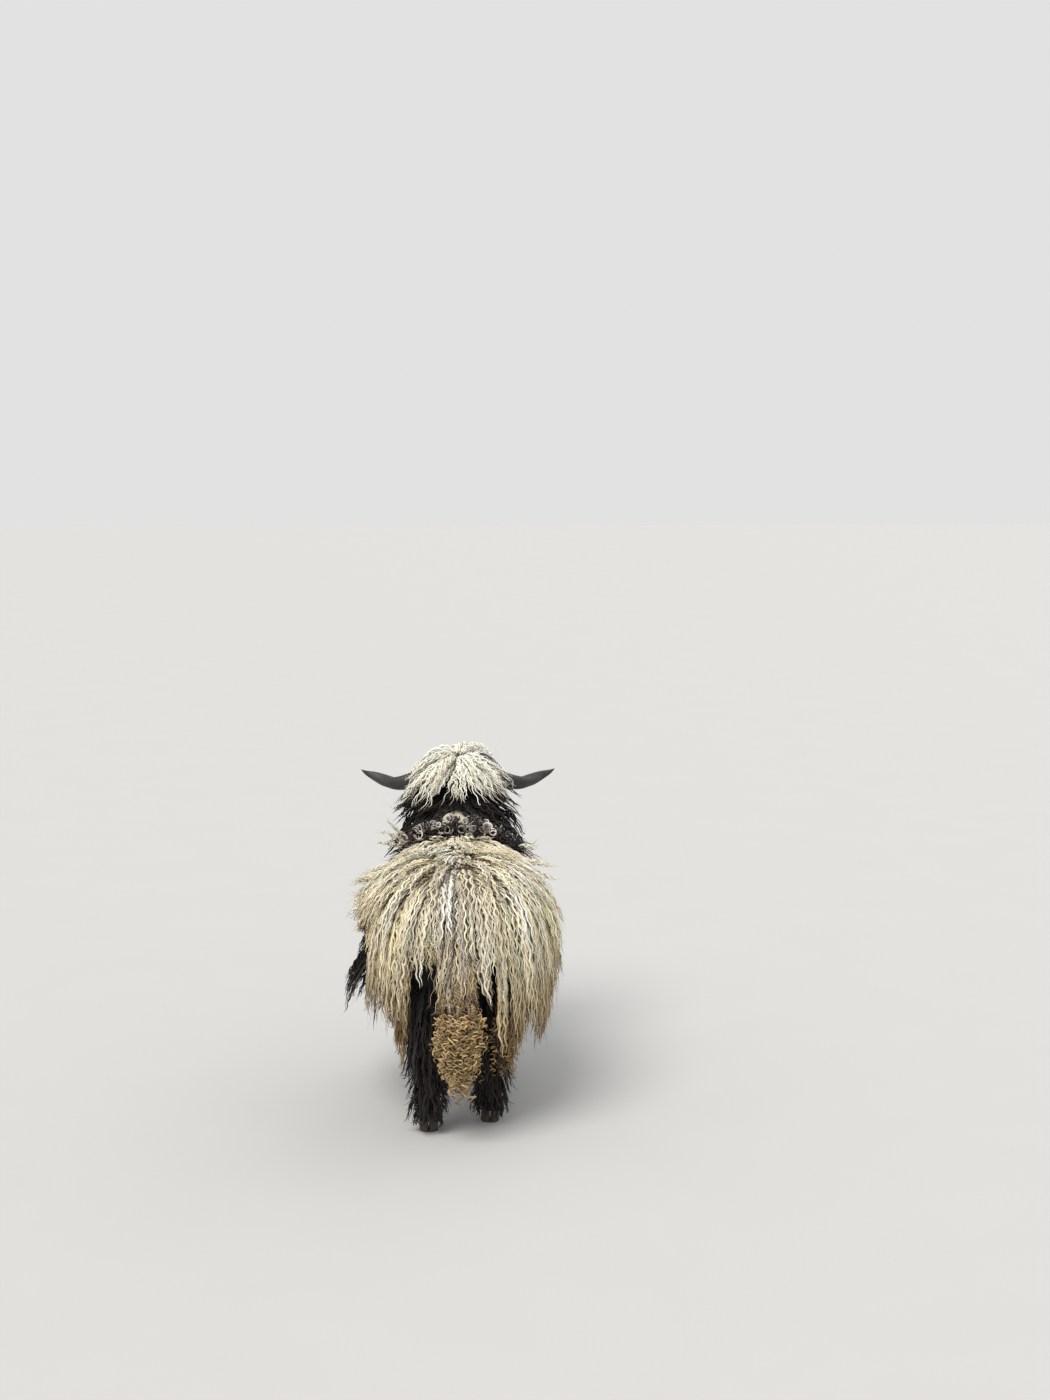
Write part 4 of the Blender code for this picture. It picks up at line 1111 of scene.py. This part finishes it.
def makeTopknot():
    spec = topknotSpec
    sizeSeed, strandSeed = spec["seeds"]
    draw = random.Random(sizeSeed)
    coat = Coat(spec)
    for k in range(spec["locks"]):
        t = (k + 0.1) / spec["locks"]
        turn = k * 2.39996 + draw.uniform(-0.2, 0.2)
        turn += 0.35 * math.sin(turn)  # closer together at the back
        reach = spec["radius"] * math.sqrt(t)
        away = Vector((math.sin(turn), -math.cos(turn), 0))
        start = crown + away * reach + Vector((0, 0, 0.15))
        root, normal, _, _ = skinTree.ray_cast(start, down)
        if root is None:
            continue
        length = draw.uniform(0.80, 1.12) * (0.165 + 0.03 * (1 - t)) * (0.82 if away.y < -0.5 else 1)
        length *= 1 + 0.50 * max(0, away.y) - (0.27 if away.x > 0 else 0.50) * abs(away.x) ** 2
        lift = (0.052 - 0.032 * t) * draw.uniform(0.65, 1.2)
        rear = 0.027 * max(0, away.y) ** 0.5  # the back locks lie over the neck's wool
        heights = [(0, 0.0), (0.25, lift), (0.6, lift * 1.1 + rear), (1, 0.010 + 0.2 * lift + rear)]
        place = headPlaces(np.array([root]))[0]
        coat.add(root, normal, place, length, crownLie, heights, draw.uniform(0.8, 1.2))
    return woolPieces("topknot", coat, crownColour, strandSeed, finish["crown"])


# Corkscrew curls: the collar and the tail's tuft
def curlPiece(name, roots, spec, colourOf, material):
    # roots are (point, out, fall, place on the unwrap, size); a curl leaves along out and falls
    rng = np.random.default_rng(spec["seed"])
    rings = spec["rings"]
    t = np.linspace(0, 1, rings)
    count = len(roots)
    root = np.array([tuple(r[0]) for r in roots])[:, None]
    out = np.array([tuple(r[1]) for r in roots])[:, None]
    fall = np.array([tuple(r[2]) for r in roots])[:, None]
    size = np.array([r[4] for r in roots])[:, None, None]
    wander = unit(rng.normal(0, 1, (count, 1, 3)))
    bend = t[None, :, None]
    axis = root + (out * np.sin(bend * 1.9) * spec["stand"] + fall * bend ** 1.2 * spec["hang"]
                   + wander * bend * spec["stray"]) * size
    ahead = unit(np.gradient(axis, axis=1))
    across = unit(np.cross(ahead, out + 0.31 * wander))
    up = np.cross(across, ahead)
    turns = spec["turns"] * rng.uniform(0.8, 1.25, (count, 1)) * 2 * math.pi
    turn = t[None] * turns + rng.uniform(0, 6.28, (count, 1))
    hand = np.where(rng.random((count, 1)) < 0.5, -1, 1)
    radius = spec["radius"] * np.interp(t, [0, 0.2, 0.7, 1], [0.35, 1, 0.95, 0.45])[None] * size[..., 0]
    coil = across * np.cos(turn)[..., None] + up * (hand * np.sin(turn))[..., None]
    point = axis + coil * radius[..., None]
    ahead = unit(np.gradient(point, axis=1))
    across = unit(np.cross(ahead, up))
    up = np.cross(across, ahead)
    wide = spec["width"] / 2 * np.interp(t, [0, 0.15, 0.75, 1], [0.6, 1, 0.8, 0.08])[None] * size[..., 0]
    verts = (point[:, :, None] + across[:, :, None] * (np.cos(strandEdges) * wide[..., None])[..., None]
             + up[:, :, None] * (np.sin(strandEdges) * wide[..., None] * 0.8)[..., None])
    flat = np.repeat(root[:, 0], rings * 3, axis=0)
    shade = toPoints(np.clip(rng.normal(1, spec["variety"], (count, 1)), 0.5, 1.5), verts)
    luck = toPoints(rng.random((count, 1)), verts)
    colours = colourOf(flat, toPoints(t, verts), luck) * shade[:, None]
    made = {"verts": verts.reshape(-1, 3), "rings": rings, "t": t, "lengths": np.full(count, 0.12),
            "colours": np.clip(colours, 0.002, 0.95), "places": np.array([r[3] for r in roots])}
    print(name + ":", count, "curls,", count * (rings - 1) * 6, "triangles")
    return woolPiece(name, made, 0, count, material)


collarSpec = {"rings": 34, "turns": 2.3, "radius": 0.0105, "width": 0.0050, "stand": 0.018,
              "hang": 0.026, "stray": 0.014, "variety": 0.30, "seed": 31, "spacing": 0.0135,
              "rootSeeds": (3, 33)}


def collarColour(points, t, luck):
    x = points[:, 0]
    mix = wobble(points, 70, 4.0) + 1.1 * (luck - 0.42) - smoothstep(-0.06, -0.15, x) * 0.8
    colour = blend(plain("pink", points), tone["white"] * 0.9, 0.55 * (luck > 0.62))
    colour = blend(colour, tone["black"], smoothstep(0.15, -0.25, mix))
    # painted shade: the curls darken towards mauve at their roots
    return blend(colour, tone["mauve"] * 0.6, 0.6 * smoothstep(0.35, 0.0, t))


def makeCollar():
    draw = random.Random(collarSpec["seed"])
    spacing, (neckSeed, trunkSeed) = collarSpec["spacing"], collarSpec["rootSeeds"]

    def fits(point, normal):
        edge = heightOver(trees["trunk"], point)[0]
        return normal.y > 0.15 and point.z > 0.70 and -0.006 < edge < 0.032

    roots = []
    for root, normal, place in scatter("neck", spacing, neckSeed, fits):
        out = (normal + Vector((0, 0.4, 0.5))).normalized()
        fall = (Vector((root.x * 2.5, 0.7, -0.25))).normalized()
        lift = root + normal * draw.uniform(0.004, 0.036)
        roots.append((lift, out, fall, place, draw.uniform(0.7, 1.45)))

    def onEdge(point, normal):
        return -0.32 < point.y < -0.205 and point.z > 0.745 and abs(point.x) < 0.165

    for root, normal, place in scatter("trunk", spacing, trunkSeed, onEdge):
        out = (normal + Vector((0, -0.2, 0.6))).normalized()
        fall = Vector((root.x * 3.0, 0.6, -0.3)).normalized()
        high = draw.uniform(0.026, 0.050) * (1.15 - 2.0 * abs(root.x))
        roots.append((root + normal * high, out, fall, place, draw.uniform(0.7, 1.45)))
    return [curlPiece("collarCurls", roots, collarSpec, collarColour, finish["fleece"])]


tailSpec = {"rings": 26, "turns": 2.3, "radius": 0.0072, "width": 0.0050, "stand": 0.016,
            "hang": 0.030, "stray": 0.014, "variety": 0.28, "seed": 41, "rootSeed": 2,
            "spacing": 0.0105, "tips": 26}
thighSpec = {**tailSpec, "seed": 45, "rootSeed": 44, "spacing": 0.0125}


def tailColour(points, t, luck):
    n = 0.5 + 0.5 * wobble(points, 60, 7.0)
    colour = blend(plain("gold", points), tone["cream"] * 0.85, 0.55 * n * luck)
    colour = blend(colour, tone["brown"], 0.55 * (luck < 0.22))
    # painted shade: the curls darken towards brown at their roots
    return blend(colour, tone["brown"] * 0.6, 0.85 * smoothstep(0.40, 0.0, t))


def makeTail():
    draw = random.Random(tailSpec["seed"])
    roots = []
    for root, normal, place in scatter("tail", tailSpec["spacing"], tailSpec["rootSeed"],
                                       lambda point, normal: point.z < 0.425):
        for layer in range(2):
            start = root + normal * draw.uniform(-0.002, 0.012) * layer
            out = (normal + Vector((0, 0.1, 0.25))).normalized()
            low = smoothstep(0.36, 0.22, root.z)
            size = draw.uniform(0.75, 1.15) * (1.20 - 0.40 * low)
            fall = (down + Vector((root.x * 4, 0, 0)) * (1 - 2.2 * low)).normalized()
            roots.append((start, out, fall, place + 0.004 * layer, size))
    for k in range(tailSpec["tips"]):  # longer tips under the tuft
        turn = k * 2.4
        out = Vector((math.cos(turn), 0.8 * math.sin(turn), 0))
        start = Vector(tailRows[-1][:3]) + out * 0.018 * (k % 3) / 2 + Vector((0, 0, 0.05 * (k % 4) / 3))
        place = np.array([unwrap["tail"][2] - 0.01, unwrap["tail"][1] + 0.006 * k])
        roots.append((start, out * 0.4 + down * 0.6, down, place, draw.uniform(1.1, 2.0)))
    tuft = curlPiece("tailCurls", roots, tailSpec, tailColour, finish["tail"])
    roots = []

    def onThigh(point, normal):  # tan curls behind the right thigh
        return 0.21 < point.z < 0.37 and normal.y > -0.1 and point.x < -0.065

    found = scatter("hindright", thighSpec["spacing"], thighSpec["rootSeed"], onThigh)
    for root, normal, place in found:
        out = (normal + Vector((0, 0.3, 0.1))).normalized()
        fall = (down + Vector((-0.15, 0.1, 0))).normalized()
        start = root + normal * draw.uniform(0.004, 0.028)
        roots.append((start, out, fall, place, draw.uniform(0.8, 1.25)))
    return [tuft, curlPiece("thighCurls", roots, thighSpec, thighColour, finish["tail"])]


def thighColour(points, t, luck):
    return blend(tailColour(points, t, luck), tone["tan"] * 0.8, np.full(len(points), 0.6))


# The legs' black wool
legSpec = {
    "spacing": 0.0205, "strands": 5, "length": (0.085, 0.125), "coat": 0.056,
    "straight": 0.15, "leadRings": 1, "waves": 2, "width": 0.0078, "thick": 0.6, "crimp": 0.0022,
    "roundness": 0.5, "spread": 0.013, "flat": 0.6, "clump": (1.0, 1.0, 0.85, 0.6), "drift": 0.3,
    "splay": 0.008, "shortest": 0.5, "variety": 0.25, "thin": 0.25, "seeds": (60, 70, 80),
}


def legLie(point, up, t):
    return down + Vector((0, 0.15, 0)) + up * 0.25 * (1 - t)


def legColour(points, t, luck):  # tan and brown on the thighs, black below
    x, y, z = points.T
    n = wobble(points, 33, 6.0)
    thigh = smoothstep(0.24, 0.32, z + 0.04 * n) * smoothstep(0.10, 0.14, np.abs(x) + 0.02 * n)
    thigh *= smoothstep(0.0, 0.1, y) * np.where(x > 0, smoothstep(0.135, 0.16, x), 1)
    rust = blend(plain("tan", points), tone["brown"], 0.4 + 0.4 * n)
    return blend(blackColour(points, t, luck), rust, thigh)


def makeLegWool():
    pieces = []
    for leg, (end, where) in enumerate(legNames):
        sizeSeed, rootSeed, strandSeed = (seed + leg for seed in legSpec["seeds"])
        draw = random.Random(sizeSeed)
        coat = Coat(legSpec)

        def fits(point, normal):
            return point.z > 0.060 and heightOver(trees["trunk"], point)[0] > -0.02

        for root, normal, place in scatter(end + where, legSpec["spacing"], rootSeed, fits):
            thick = legSpec["coat"] * draw.uniform(0.25, 1.0)
            thick *= 0.55 + 0.45 * smoothstep(0.05, 0.14, root.z)
            length = draw.uniform(*legSpec["length"]) * (1 + 0.5 * smoothstep(0.25, 0.40, root.z))
            length = min(length, max(0.020, root.z - body["hoofHeight"] + 0.022))
            heights = [(0, 0), (0.3, 0.45 * thick), (1, thick)]
            coat.add(root, normal, place, length, legLie, heights, draw.uniform(0.8, 1.2))
        title = "legWool" + end.capitalize() + where.capitalize()
        pieces += woolPieces(title, coat, legColour, strandSeed, finish["black"])
    return pieces


coatPieces = (makeFleece() + makeStrays() + makeUnderWool() + makeNeckWool() + makeTopknot()
              + makeCollar() + makeTail() + makeLegWool())


# Short curls of the face and ears, by Geometry Nodes
def newTree(name, inputs):
    tree = bpy.data.node_groups.new(name, "GeometryNodeTree")
    for title, kind in (("Geometry", "Geometry"), *inputs):
        tree.interface.new_socket(title, in_out="INPUT", socket_type="NodeSocket" + kind)
    tree.interface.new_socket("Geometry", in_out="OUTPUT", socket_type="NodeSocketGeometry")
    given, result = tree.nodes.new("NodeGroupInput"), tree.nodes.new("NodeGroupOutput")
    return tree, given.outputs, result


def named(tree, name, kind="FLOAT"):
    return wired(tree, "GeometryNodeInputNamedAttribute", [("Name", name)], data_type=kind)


def vectorMath(tree, operation, *inputs):
    return wired(tree, "ShaderNodeVectorMath", inputs, operation=operation)


def closeTree(tree, given, result, geometry, smooth=False):
    geometry = wired(tree, "GeometryNodeRealizeInstances", [("Geometry", geometry)])
    if smooth:
        geometry = wired(tree, "GeometryNodeSetShadeSmooth", [("Geometry", geometry)])
    dressed = wired(tree, "GeometryNodeSetMaterial", [
        ("Geometry", geometry), ("Material", given["Material"])])
    connect(tree, result, [("Geometry", dressed)])
    return tree


def runTree(piece, tree, values):  # sets the named inputs, evaluates and drops the modifier
    growing = piece.modifiers.new(tree.name, "NODES")
    growing.node_group = tree
    for item in tree.interface.items_tree:
        if item.item_type == "SOCKET" and item.in_out == "INPUT" and item.name in values:
            growing[item.identifier] = values[item.name]
    return finished(piece)


def curlShape(tree, given):  # one tapered corkscrew
    narrow = mathOf(tree, "MULTIPLY", given["Curl Radius"], 0.35)
    spiral = wired(tree, "GeometryNodeCurveSpiral", [
        ("Resolution", 8), ("Rotations", given["Turns"]), ("Start Radius", given["Curl Radius"]),
        ("End Radius", narrow), ("Height", given["Curl Height"])])
    taper = mathOf(tree, "MULTIPLY_ADD", wired(tree, "GeometryNodeSplineParameter"), -0.9, 1.0)
    narrowed = wired(tree, "GeometryNodeSetCurveRadius", [("Curve", spiral), ("Radius", taper)])
    section = wired(tree, "GeometryNodeCurvePrimitiveCircle", [
        ("Resolution", 3), ("Radius", given["Fibre Radius"])])
    curl = tree.nodes.new("GeometryNodeCurveToMesh")
    connect(tree, curl, [("Curve", narrowed), ("Profile Curve", section), ("Fill Caps", True)])
    if "Scale" in curl.inputs:
        connect(tree, curl, [("Scale", taper)])
    return curl.outputs["Mesh"]


def faceCurlTree():
    tree, given, result = newTree("faceCurls", [
        ("Spacing", "Float"), ("Curl Radius", "Float"), ("Curl Height", "Float"),
        ("Fibre Radius", "Float"), ("Turns", "Float"), ("Seed", "Int"), ("Material", "Material")])
    spots = tree.nodes.new("GeometryNodeDistributePointsOnFaces")
    spots.distribute_method = "POISSON"
    connect(tree, spots, [("Mesh", given["Geometry"]), ("Distance Min", given["Spacing"]),
                          ("Density Max", 60000.0), ("Density Factor", named(tree, "curlShare")),
                          ("Seed", given["Seed"])])
    lie = named(tree, "lie", "FLOAT_VECTOR")
    leaning = vectorMath(tree, "ADD", (0, spots.outputs["Normal"]), (1, lie))
    aligned = wired(tree, "FunctionNodeAlignRotationToVector", [("Vector", leaning)], axis="Z")
    spin = wired(tree, "FunctionNodeRandomValue", [
        ("Max", (0.0, 0.0, 6.28)), ("Seed", given["Seed"])], data_type="FLOAT_VECTOR")
    turned = wired(tree, "FunctionNodeRotateRotation", [
        ("Rotation", aligned), ("Rotate By", spin)], rotation_space="LOCAL")
    sizes = wired(tree, "FunctionNodeRandomValue", [
        (2, 0.65), (3, 1.25), ("Seed", given["Seed"])], 1, data_type="FLOAT")
    grown = mathOf(tree, "MULTIPLY", sizes, named(tree, "curlSize"))
    curls = wired(tree, "GeometryNodeInstanceOnPoints", [
        ("Points", spots.outputs["Points"]), ("Instance", curlShape(tree, given)),
        ("Rotation", turned), ("Scale", grown)])
    marked = wired(tree, "GeometryNodeStoreNamedAttribute", [
        ("Geometry", curls), ("Name", "rootPlace"), ("Value", wired(tree, "GeometryNodeInputPosition"))],
        data_type="FLOAT_VECTOR", domain="INSTANCE")
    return closeTree(tree, given, result, marked, True)


faceSpec = {"Spacing": 0.0052, "Curl Radius": 0.0032, "Curl Height": 0.0150, "Fibre Radius": 0.0019,
            "Turns": 1.35, "Seed": 3}


def faceLie(points):  # backwards from the nose, down the cheeks
    offset = points - np.array(poll)
    return -np.array(forward) * 0.45 + np.array(down) * 0.35 + offset * np.array([1.0, 0, 0])


def makeFaceCurls():
    points, faces = headShell()
    shells = [(points, faces)] + [shellOf(earGrid(sign)) for sign in (1, -1)]
    points, faces = joined(shells)
    points = np.array(points)
    piece = makeObject("faceCurls", points, faces)
    offset = points - np.array(poll)
    ahead = offset @ np.array(forward)
    above = offset @ np.array(upward)
    share = smoothstep(0.250, 0.215, ahead + 0.15 * np.maximum(0, above + 0.02))
    size = 0.30 + 0.60 * smoothstep(0.225, 0.10, ahead) + 0.25 * smoothstep(0.10, 0.02, ahead)
    for sign in (1, -1):
        eye = np.linalg.norm(points - np.array(eyeCentre(sign)), axis=1)
        share *= smoothstep(0.0185, 0.0225, eye)
        size *= 0.45 + 0.55 * smoothstep(0.018, 0.040, eye)
    onEar = np.abs(points[:, 0]) > 0.085
    share[onEar], size[onEar] = 0.8, 0.75
    for key, kind, values in (("curlShare", "FLOAT", share), ("curlSize", "FLOAT", size),
                              ("lie", "FLOAT_VECTOR", faceLie(points))):
        layer = piece.data.attributes.new(key, kind, "POINT")
        layer.data.foreach_set("vector" if kind == "FLOAT_VECTOR" else "value",
                               np.asarray(values, np.float32).ravel())
    runTree(piece, faceCurlTree(), {**faceSpec, "Material": finish["face"]})
    mesh = piece.data
    roots = np.empty(len(mesh.vertices) * 3, np.float32)
    mesh.attributes["rootPlace"].data.foreach_get("vector", roots)
    roots = roots.reshape(-1, 3).astype(float)
    local = pointsOf(mesh) - roots
    colour = blackColour(roots, np.clip(np.linalg.norm(local, axis=1) / 0.02, 0, 1), 0.5)
    # painted shade and light: the curls are darker at the root and lighter towards the tip, which shows
    # their form; the speckle is random
    tip = np.clip(np.linalg.norm(local, axis=1) / 0.014, 0, 1)[:, None]
    storeColour(mesh, "wool", colour * (0.8 + 1.1 * tip + 0.35 * wobble(roots, 900)[:, None]))
    loops = np.empty(len(mesh.loops), np.int32)
    mesh.loops.foreach_get("vertex_index", loops)
    place = headPlaces(roots) + local[:, [0, 2]] * 0.14
    layer = mesh.uv_layers.new(name="OFBake")
    layer.data.foreach_set("uv", place[loops].astype(np.float32).ravel())
    print("faceCurls:", sum(len(f.vertices) - 2 for f in mesh.polygons), "triangles")
    return piece


finish["face"] = woolMaterial("faceWool", 0.58, 0.16, (0.85, 0.8, 0.8), 0.4, False)
coatPieces.append(makeFaceCurls())


# Horns: a swept blade, its ridges by Geometry Nodes
hornSpec = {"root": (0.062, -0.575, 0.946), "spread": 0.67, "thickness": 0.056,
            "Ridge Spacing": 0.0105, "Ridge Depth": 0.0015, "Warp": 0.0025}


def hornLine(t):
    turn = math.radians(100 - 292 * t)
    radius = 0.050 + 0.014 * math.sin(math.pi * t)
    root = Vector(hornSpec["root"])
    across = root.x + (hornSpec["spread"] / 2 - root.x) * t ** 1.15
    rise = radius * math.sin(turn)
    rise *= 0.72 + 0.28 * math.tanh(rise / 0.02)
    return root + Vector((across - root.x, radius * math.cos(turn), rise))


def hornTree():
    tree, given, result = newTree("hornRidges", [
        ("Ridge Spacing", "Float"), ("Ridge Depth", "Float"), ("Warp", "Float"),
        ("Material", "Material")])
    along = named(tree, "along")
    uneven = wired(tree, "ShaderNodeTexNoise", [("Scale", 45.0), ("Detail", 2.0)])
    warp = mathOf(tree, "MULTIPLY_ADD", uneven, given["Warp"], along)
    turn = mathOf(tree, "MULTIPLY", mathOf(tree, "DIVIDE", warp, given["Ridge Spacing"]), 2 * math.pi)
    deep = mathOf(tree, "MULTIPLY", mathOf(tree, "SINE", turn), given["Ridge Depth"])
    fade = wired(tree, "ShaderNodeMapRange", enumerate((along, 0.36, 0.20, 0.0, 1.0)))
    faded = mathOf(tree, "MULTIPLY", deep, fade)
    normal = wired(tree, "GeometryNodeInputNormal")
    move = vectorMath(tree, "SCALE", (0, normal), ("Scale", faded))
    ridged = wired(tree, "GeometryNodeSetPosition", [("Geometry", given["Geometry"]), ("Offset", move)])
    return closeTree(tree, given, result, ridged)


def makeHorn(name, sign, tree):
    count, sides = 150, 28
    rings, places, far = [], [], 0.0
    centre = Vector(hornSpec["root"])
    for i in range(count):
        t = i / (count - 1)
        here = hornLine(t)
        along = (hornLine(min(1, t + 0.01)) - hornLine(max(0, t - 0.01))).normalized()
        out = here - Vector((here.x, centre.y, centre.z))
        across = (out - along * out.dot(along)).normalized()
        other = along.cross(across)
        size = hornSpec["thickness"] / 2 * max(0.05, (1 - t ** 4) ** 0.8)
        far += (here - hornLine(max(0, t - 1 / (count - 1)))).length
        ring = []
        for k in range(sides):
            a = 2 * math.pi * (k + 0.5) / sides
            keel = 1 + 0.10 * math.cos(2 * a) ** 2 * math.copysign(1, math.cos(a))
            point = here + across * size * 0.8 * math.cos(a) * keel + other * size * math.sin(a)
            ring.append((sign * point.x, point.y, point.z))
        rings.append(ring)
        places += [far] * sides
    piece = makeObject(name, *shellOf(np.array(rings)))
    layer = piece.data.attributes.new("along", "FLOAT", "POINT")
    layer.data.foreach_set("value", np.array(places, np.float32))
    values = {key: hornSpec[key] for key in ("Ridge Spacing", "Ridge Depth", "Warp")}
    return runTree(piece, tree, {**values, "Material": finish["horn"]})


def hornRings(tree):
    along = wired(tree, "ShaderNodeAttribute", output="Fac", attribute_name="along")
    return noise(tree, wired(tree, "ShaderNodeCombineXYZ", [("X", along)]), 260.0, 3.0)


finish["horn"] = ringedMaterial(
    "hornSheath", lambda tree: noise(tree, objectPlace(tree), 24.0, 6.0, 0.6), hornRings,
    [(0.28, (0.012, 0.011, 0.011)), (0.55, (0.030, 0.027, 0.026)), (0.80, (0.075, 0.065, 0.058))],
    [(0.35, 0.62), (0.65, 1.15)], [(0.3, 0.36), (0.7, 0.62)])
ridges = hornTree()
horns = {}
for where in ("left", "right"):
    horns[where] = makeHorn("horn" + where.capitalize(), signOf(where), ridges)
print("horns done")


# Eyes: an amber iris with a level pupil, on the ball's own map
def eyeMaterial():
    material, tree = newMaterial("eyeAmber")
    place = wired(tree, "ShaderNodeUVMap", uv_map="eyeMap")
    centred = vectorMath(tree, "SUBTRACT", (0, place), (1, (0.5, 0.5, 0.0)))
    wavy = mathOf(tree, "MULTIPLY_ADD", noise(tree, centred, 30.0, 5.0), 0.05, lengthOf(tree, centred))
    iris = ramp(tree, wavy, (0.10, (0.17, 0.085, 0.025)), (0.24, (0.12, 0.055, 0.018)),
                (0.36, (0.045, 0.022, 0.010)), (0.42, (0.014, 0.010, 0.009)),
                (0.52, (0.05, 0.035, 0.03)))
    bar = lengthOf(tree, stretched(tree, centred, (1.0, 2.6, 1.0)))
    pupil = ramp(tree, bar, (0.19, 0.0), (0.215, 1.0))
    shade(tree, times(tree, iris, pupil), 0.12, None, [("Coat Weight", 0.7), ("Coat Roughness", 0.03)])
    return material


finish["eye"] = eyeMaterial()
eyes = {}
for where in ("left", "right"):
    eyes[where] = eyeball("eye" + where.capitalize(), signOf(where), body["eyeRadius"], 0.05)
    eyes[where].data.materials.append(finish["eye"])
print("eyes done")


# Claws
clawSpec = {"outlinePoints": 32, "wallRings": 16}


def makeClaw(name, foot, outer):
    outline = [(0.10, 0.0), (0.02, 0.35), (0.12, 0.72), (0.42, 1.0), (0.80, 0.95), (0.98, 0.55),
               (1.0, 0.0), (0.55, 0.06)]
    closed = outline[-2:] + outline + outline[:2]
    smooth = smoothRows(closed, 11 * 16 + 1)[2 * 16:10 * 16]
    smooth = smooth[:: len(smooth) // clawSpec["outlinePoints"]]
    rows = smoothRows([(0.0, 0.965, 0.002, 0.93), (0.002, 1.0, 0.001, 1.0), (0.012, 0.99, 0.003, 1.0),
                       (0.030, 0.88, 0.010, 0.97), (body["hoofHeight"], 0.78, 0.016, 0.9)],
                      clawSpec["wallRings"])
    rings = []
    for height, length, back, width in rows:
        long, wide = body["hoofLength"] * length, body["hoofWidth"] * width
        toe = foot[1] - body["hoofLength"] * 0.62 + back
        rings.append([(foot[0] + outer * (body["cleft"] / 2 + wide * across), toe + long * along,
                       max(0.0, height)) for along, across in smooth])
    piece = makeObject(name, *shellOf(np.array(rings)))
    piece.data.materials.append(finish["hoof"])
    return piece


finish["hoof"] = ringedMaterial(
    "hoofWall", lambda tree: noise(tree, objectPlace(tree), 70.0, 5.0),
    lambda tree: noise(tree, stretched(tree, objectPlace(tree), (14.0, 14.0, 320.0)), 1.0, 3.0),
    [(0.3, (0.018, 0.015, 0.013)), (0.7, (0.075, 0.062, 0.050))],
    [(0.35, 0.6), (0.65, 1.2)], [(0.3, 0.45), (0.7, 0.7)])
claws = {}
for end, where in legNames:
    foot = legRows(end == "front", signOf(where))[-1]
    for edge in ("inner", "outer"):
        node = "hoof_" + end + "_" + where + "_" + edge
        title = "claw" + end.capitalize() + where.capitalize() + edge.capitalize()
        outer = signOf(where) * (1 if edge == "outer" else -1)
        claws[node] = makeClaw(title, foot, outer)
print("claws done")


# Everything moves to the frame, then rides and replaces
def settle(piece, slot, *nodes):
    piece.data.transform(Matrix.Translation(shift))
    piece.data.update()
    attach(piece, "root")
    if nodes:
        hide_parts(*nodes)


flesh = ["head", "neck", "torso", "tail", "ear_left", "ear_right"]
flesh += ["leg_" + end + "_" + where for end, where in legNames]
settle(skin, "black_wool", *flesh)
for piece in coatPieces:
    dark = piece.name.startswith(("neck", "leg", "face"))
    curled = piece.name.startswith(("tail", "thigh"))
    settle(piece, "black_wool" if dark else "tail_wool" if curled else "fleece")
for where in ("left", "right"):
    settle(horns[where], "horn", "horn_" + where)
    settle(eyes[where], "eye", "eye_" + where)
for node, piece in claws.items():
    settle(piece, "hoof", node)


# Floor, light and camera
stageSpec = {"floorSize": 60.0, "floorColour": (0.47, 0.47, 0.467), "worldColour": (0.760, 0.760, 0.757),
             "worldStrength": 1.0}


def makeFloor():
    half = stageSpec["floorSize"] / 2
    floor = makeObject("floor", [(-half, -half, 0), (half, -half, 0), (half, half, 0), (-half, half, 0)],
                       [(0, 1, 2, 3)])
    material, tree = newMaterial("paleFloor")
    pale = stageSpec["floorColour"]
    grain = noise(tree, objectPlace(tree), 3.0, 4.0)
    shade(tree, ramp(tree, grain, (0.3, tuple(0.985 * v for v in pale)), (0.7, pale)), 0.8)
    floor.data.materials.append(material)


def makeLight(name, place, strength, softness, colour=(1, 1, 1)):  # a soft sun that shines from a place
    lamp = bpy.data.lights.new(name, "SUN")
    lamp.angle = math.radians(softness)
    lamp.energy = strength
    lamp.color = colour
    light = bpy.data.objects.new(name, lamp)
    light.location = place
    light.rotation_euler = (-Vector(place)).to_track_quat("-Z", "Y").to_euler()
    bpy.context.scene.collection.objects.link(light)


def makeWorld():
    world = bpy.data.worlds.new("studio")
    bpy.context.scene.world = world
    world.use_nodes = True
    sky = world.node_tree.nodes["Background"]
    sky.inputs["Color"].default_value = (*stageSpec["worldColour"], 1)
    sky.inputs["Strength"].default_value = stageSpec["worldStrength"]


cameraSpec = {"lens": 54.15, "place": (0.0, 6.58, 2.24), "pitch": 8.24, "turn": 1.85}


def makeCamera():
    lens = bpy.data.cameras.new("camera")
    lens.lens = cameraSpec["lens"]
    lens.sensor_width = 36.0
    camera = bpy.data.objects.new("camera", lens)
    camera.location = Vector(cameraSpec["place"]) + Vector((shift.x, shift.y, 0))
    camera.rotation_euler = (math.radians(90 - cameraSpec["pitch"]), 0,
                             math.radians(180 - cameraSpec["turn"]))
    bpy.context.scene.collection.objects.link(camera)
    bpy.context.scene.camera = camera
    bpy.context.scene.view_settings.view_transform = "Standard"  # the photo's plain, strong tones


makeFloor()
makeLight("key", (2.0, 3.0, 5.2), 2.8, 34, (1.0, 0.97, 0.92))
makeLight("fill", (-3.0, -3.4, 3.0), 0.6, 60, (0.97, 0.98, 1.0))
makeWorld()
makeCamera()
print("stage done")
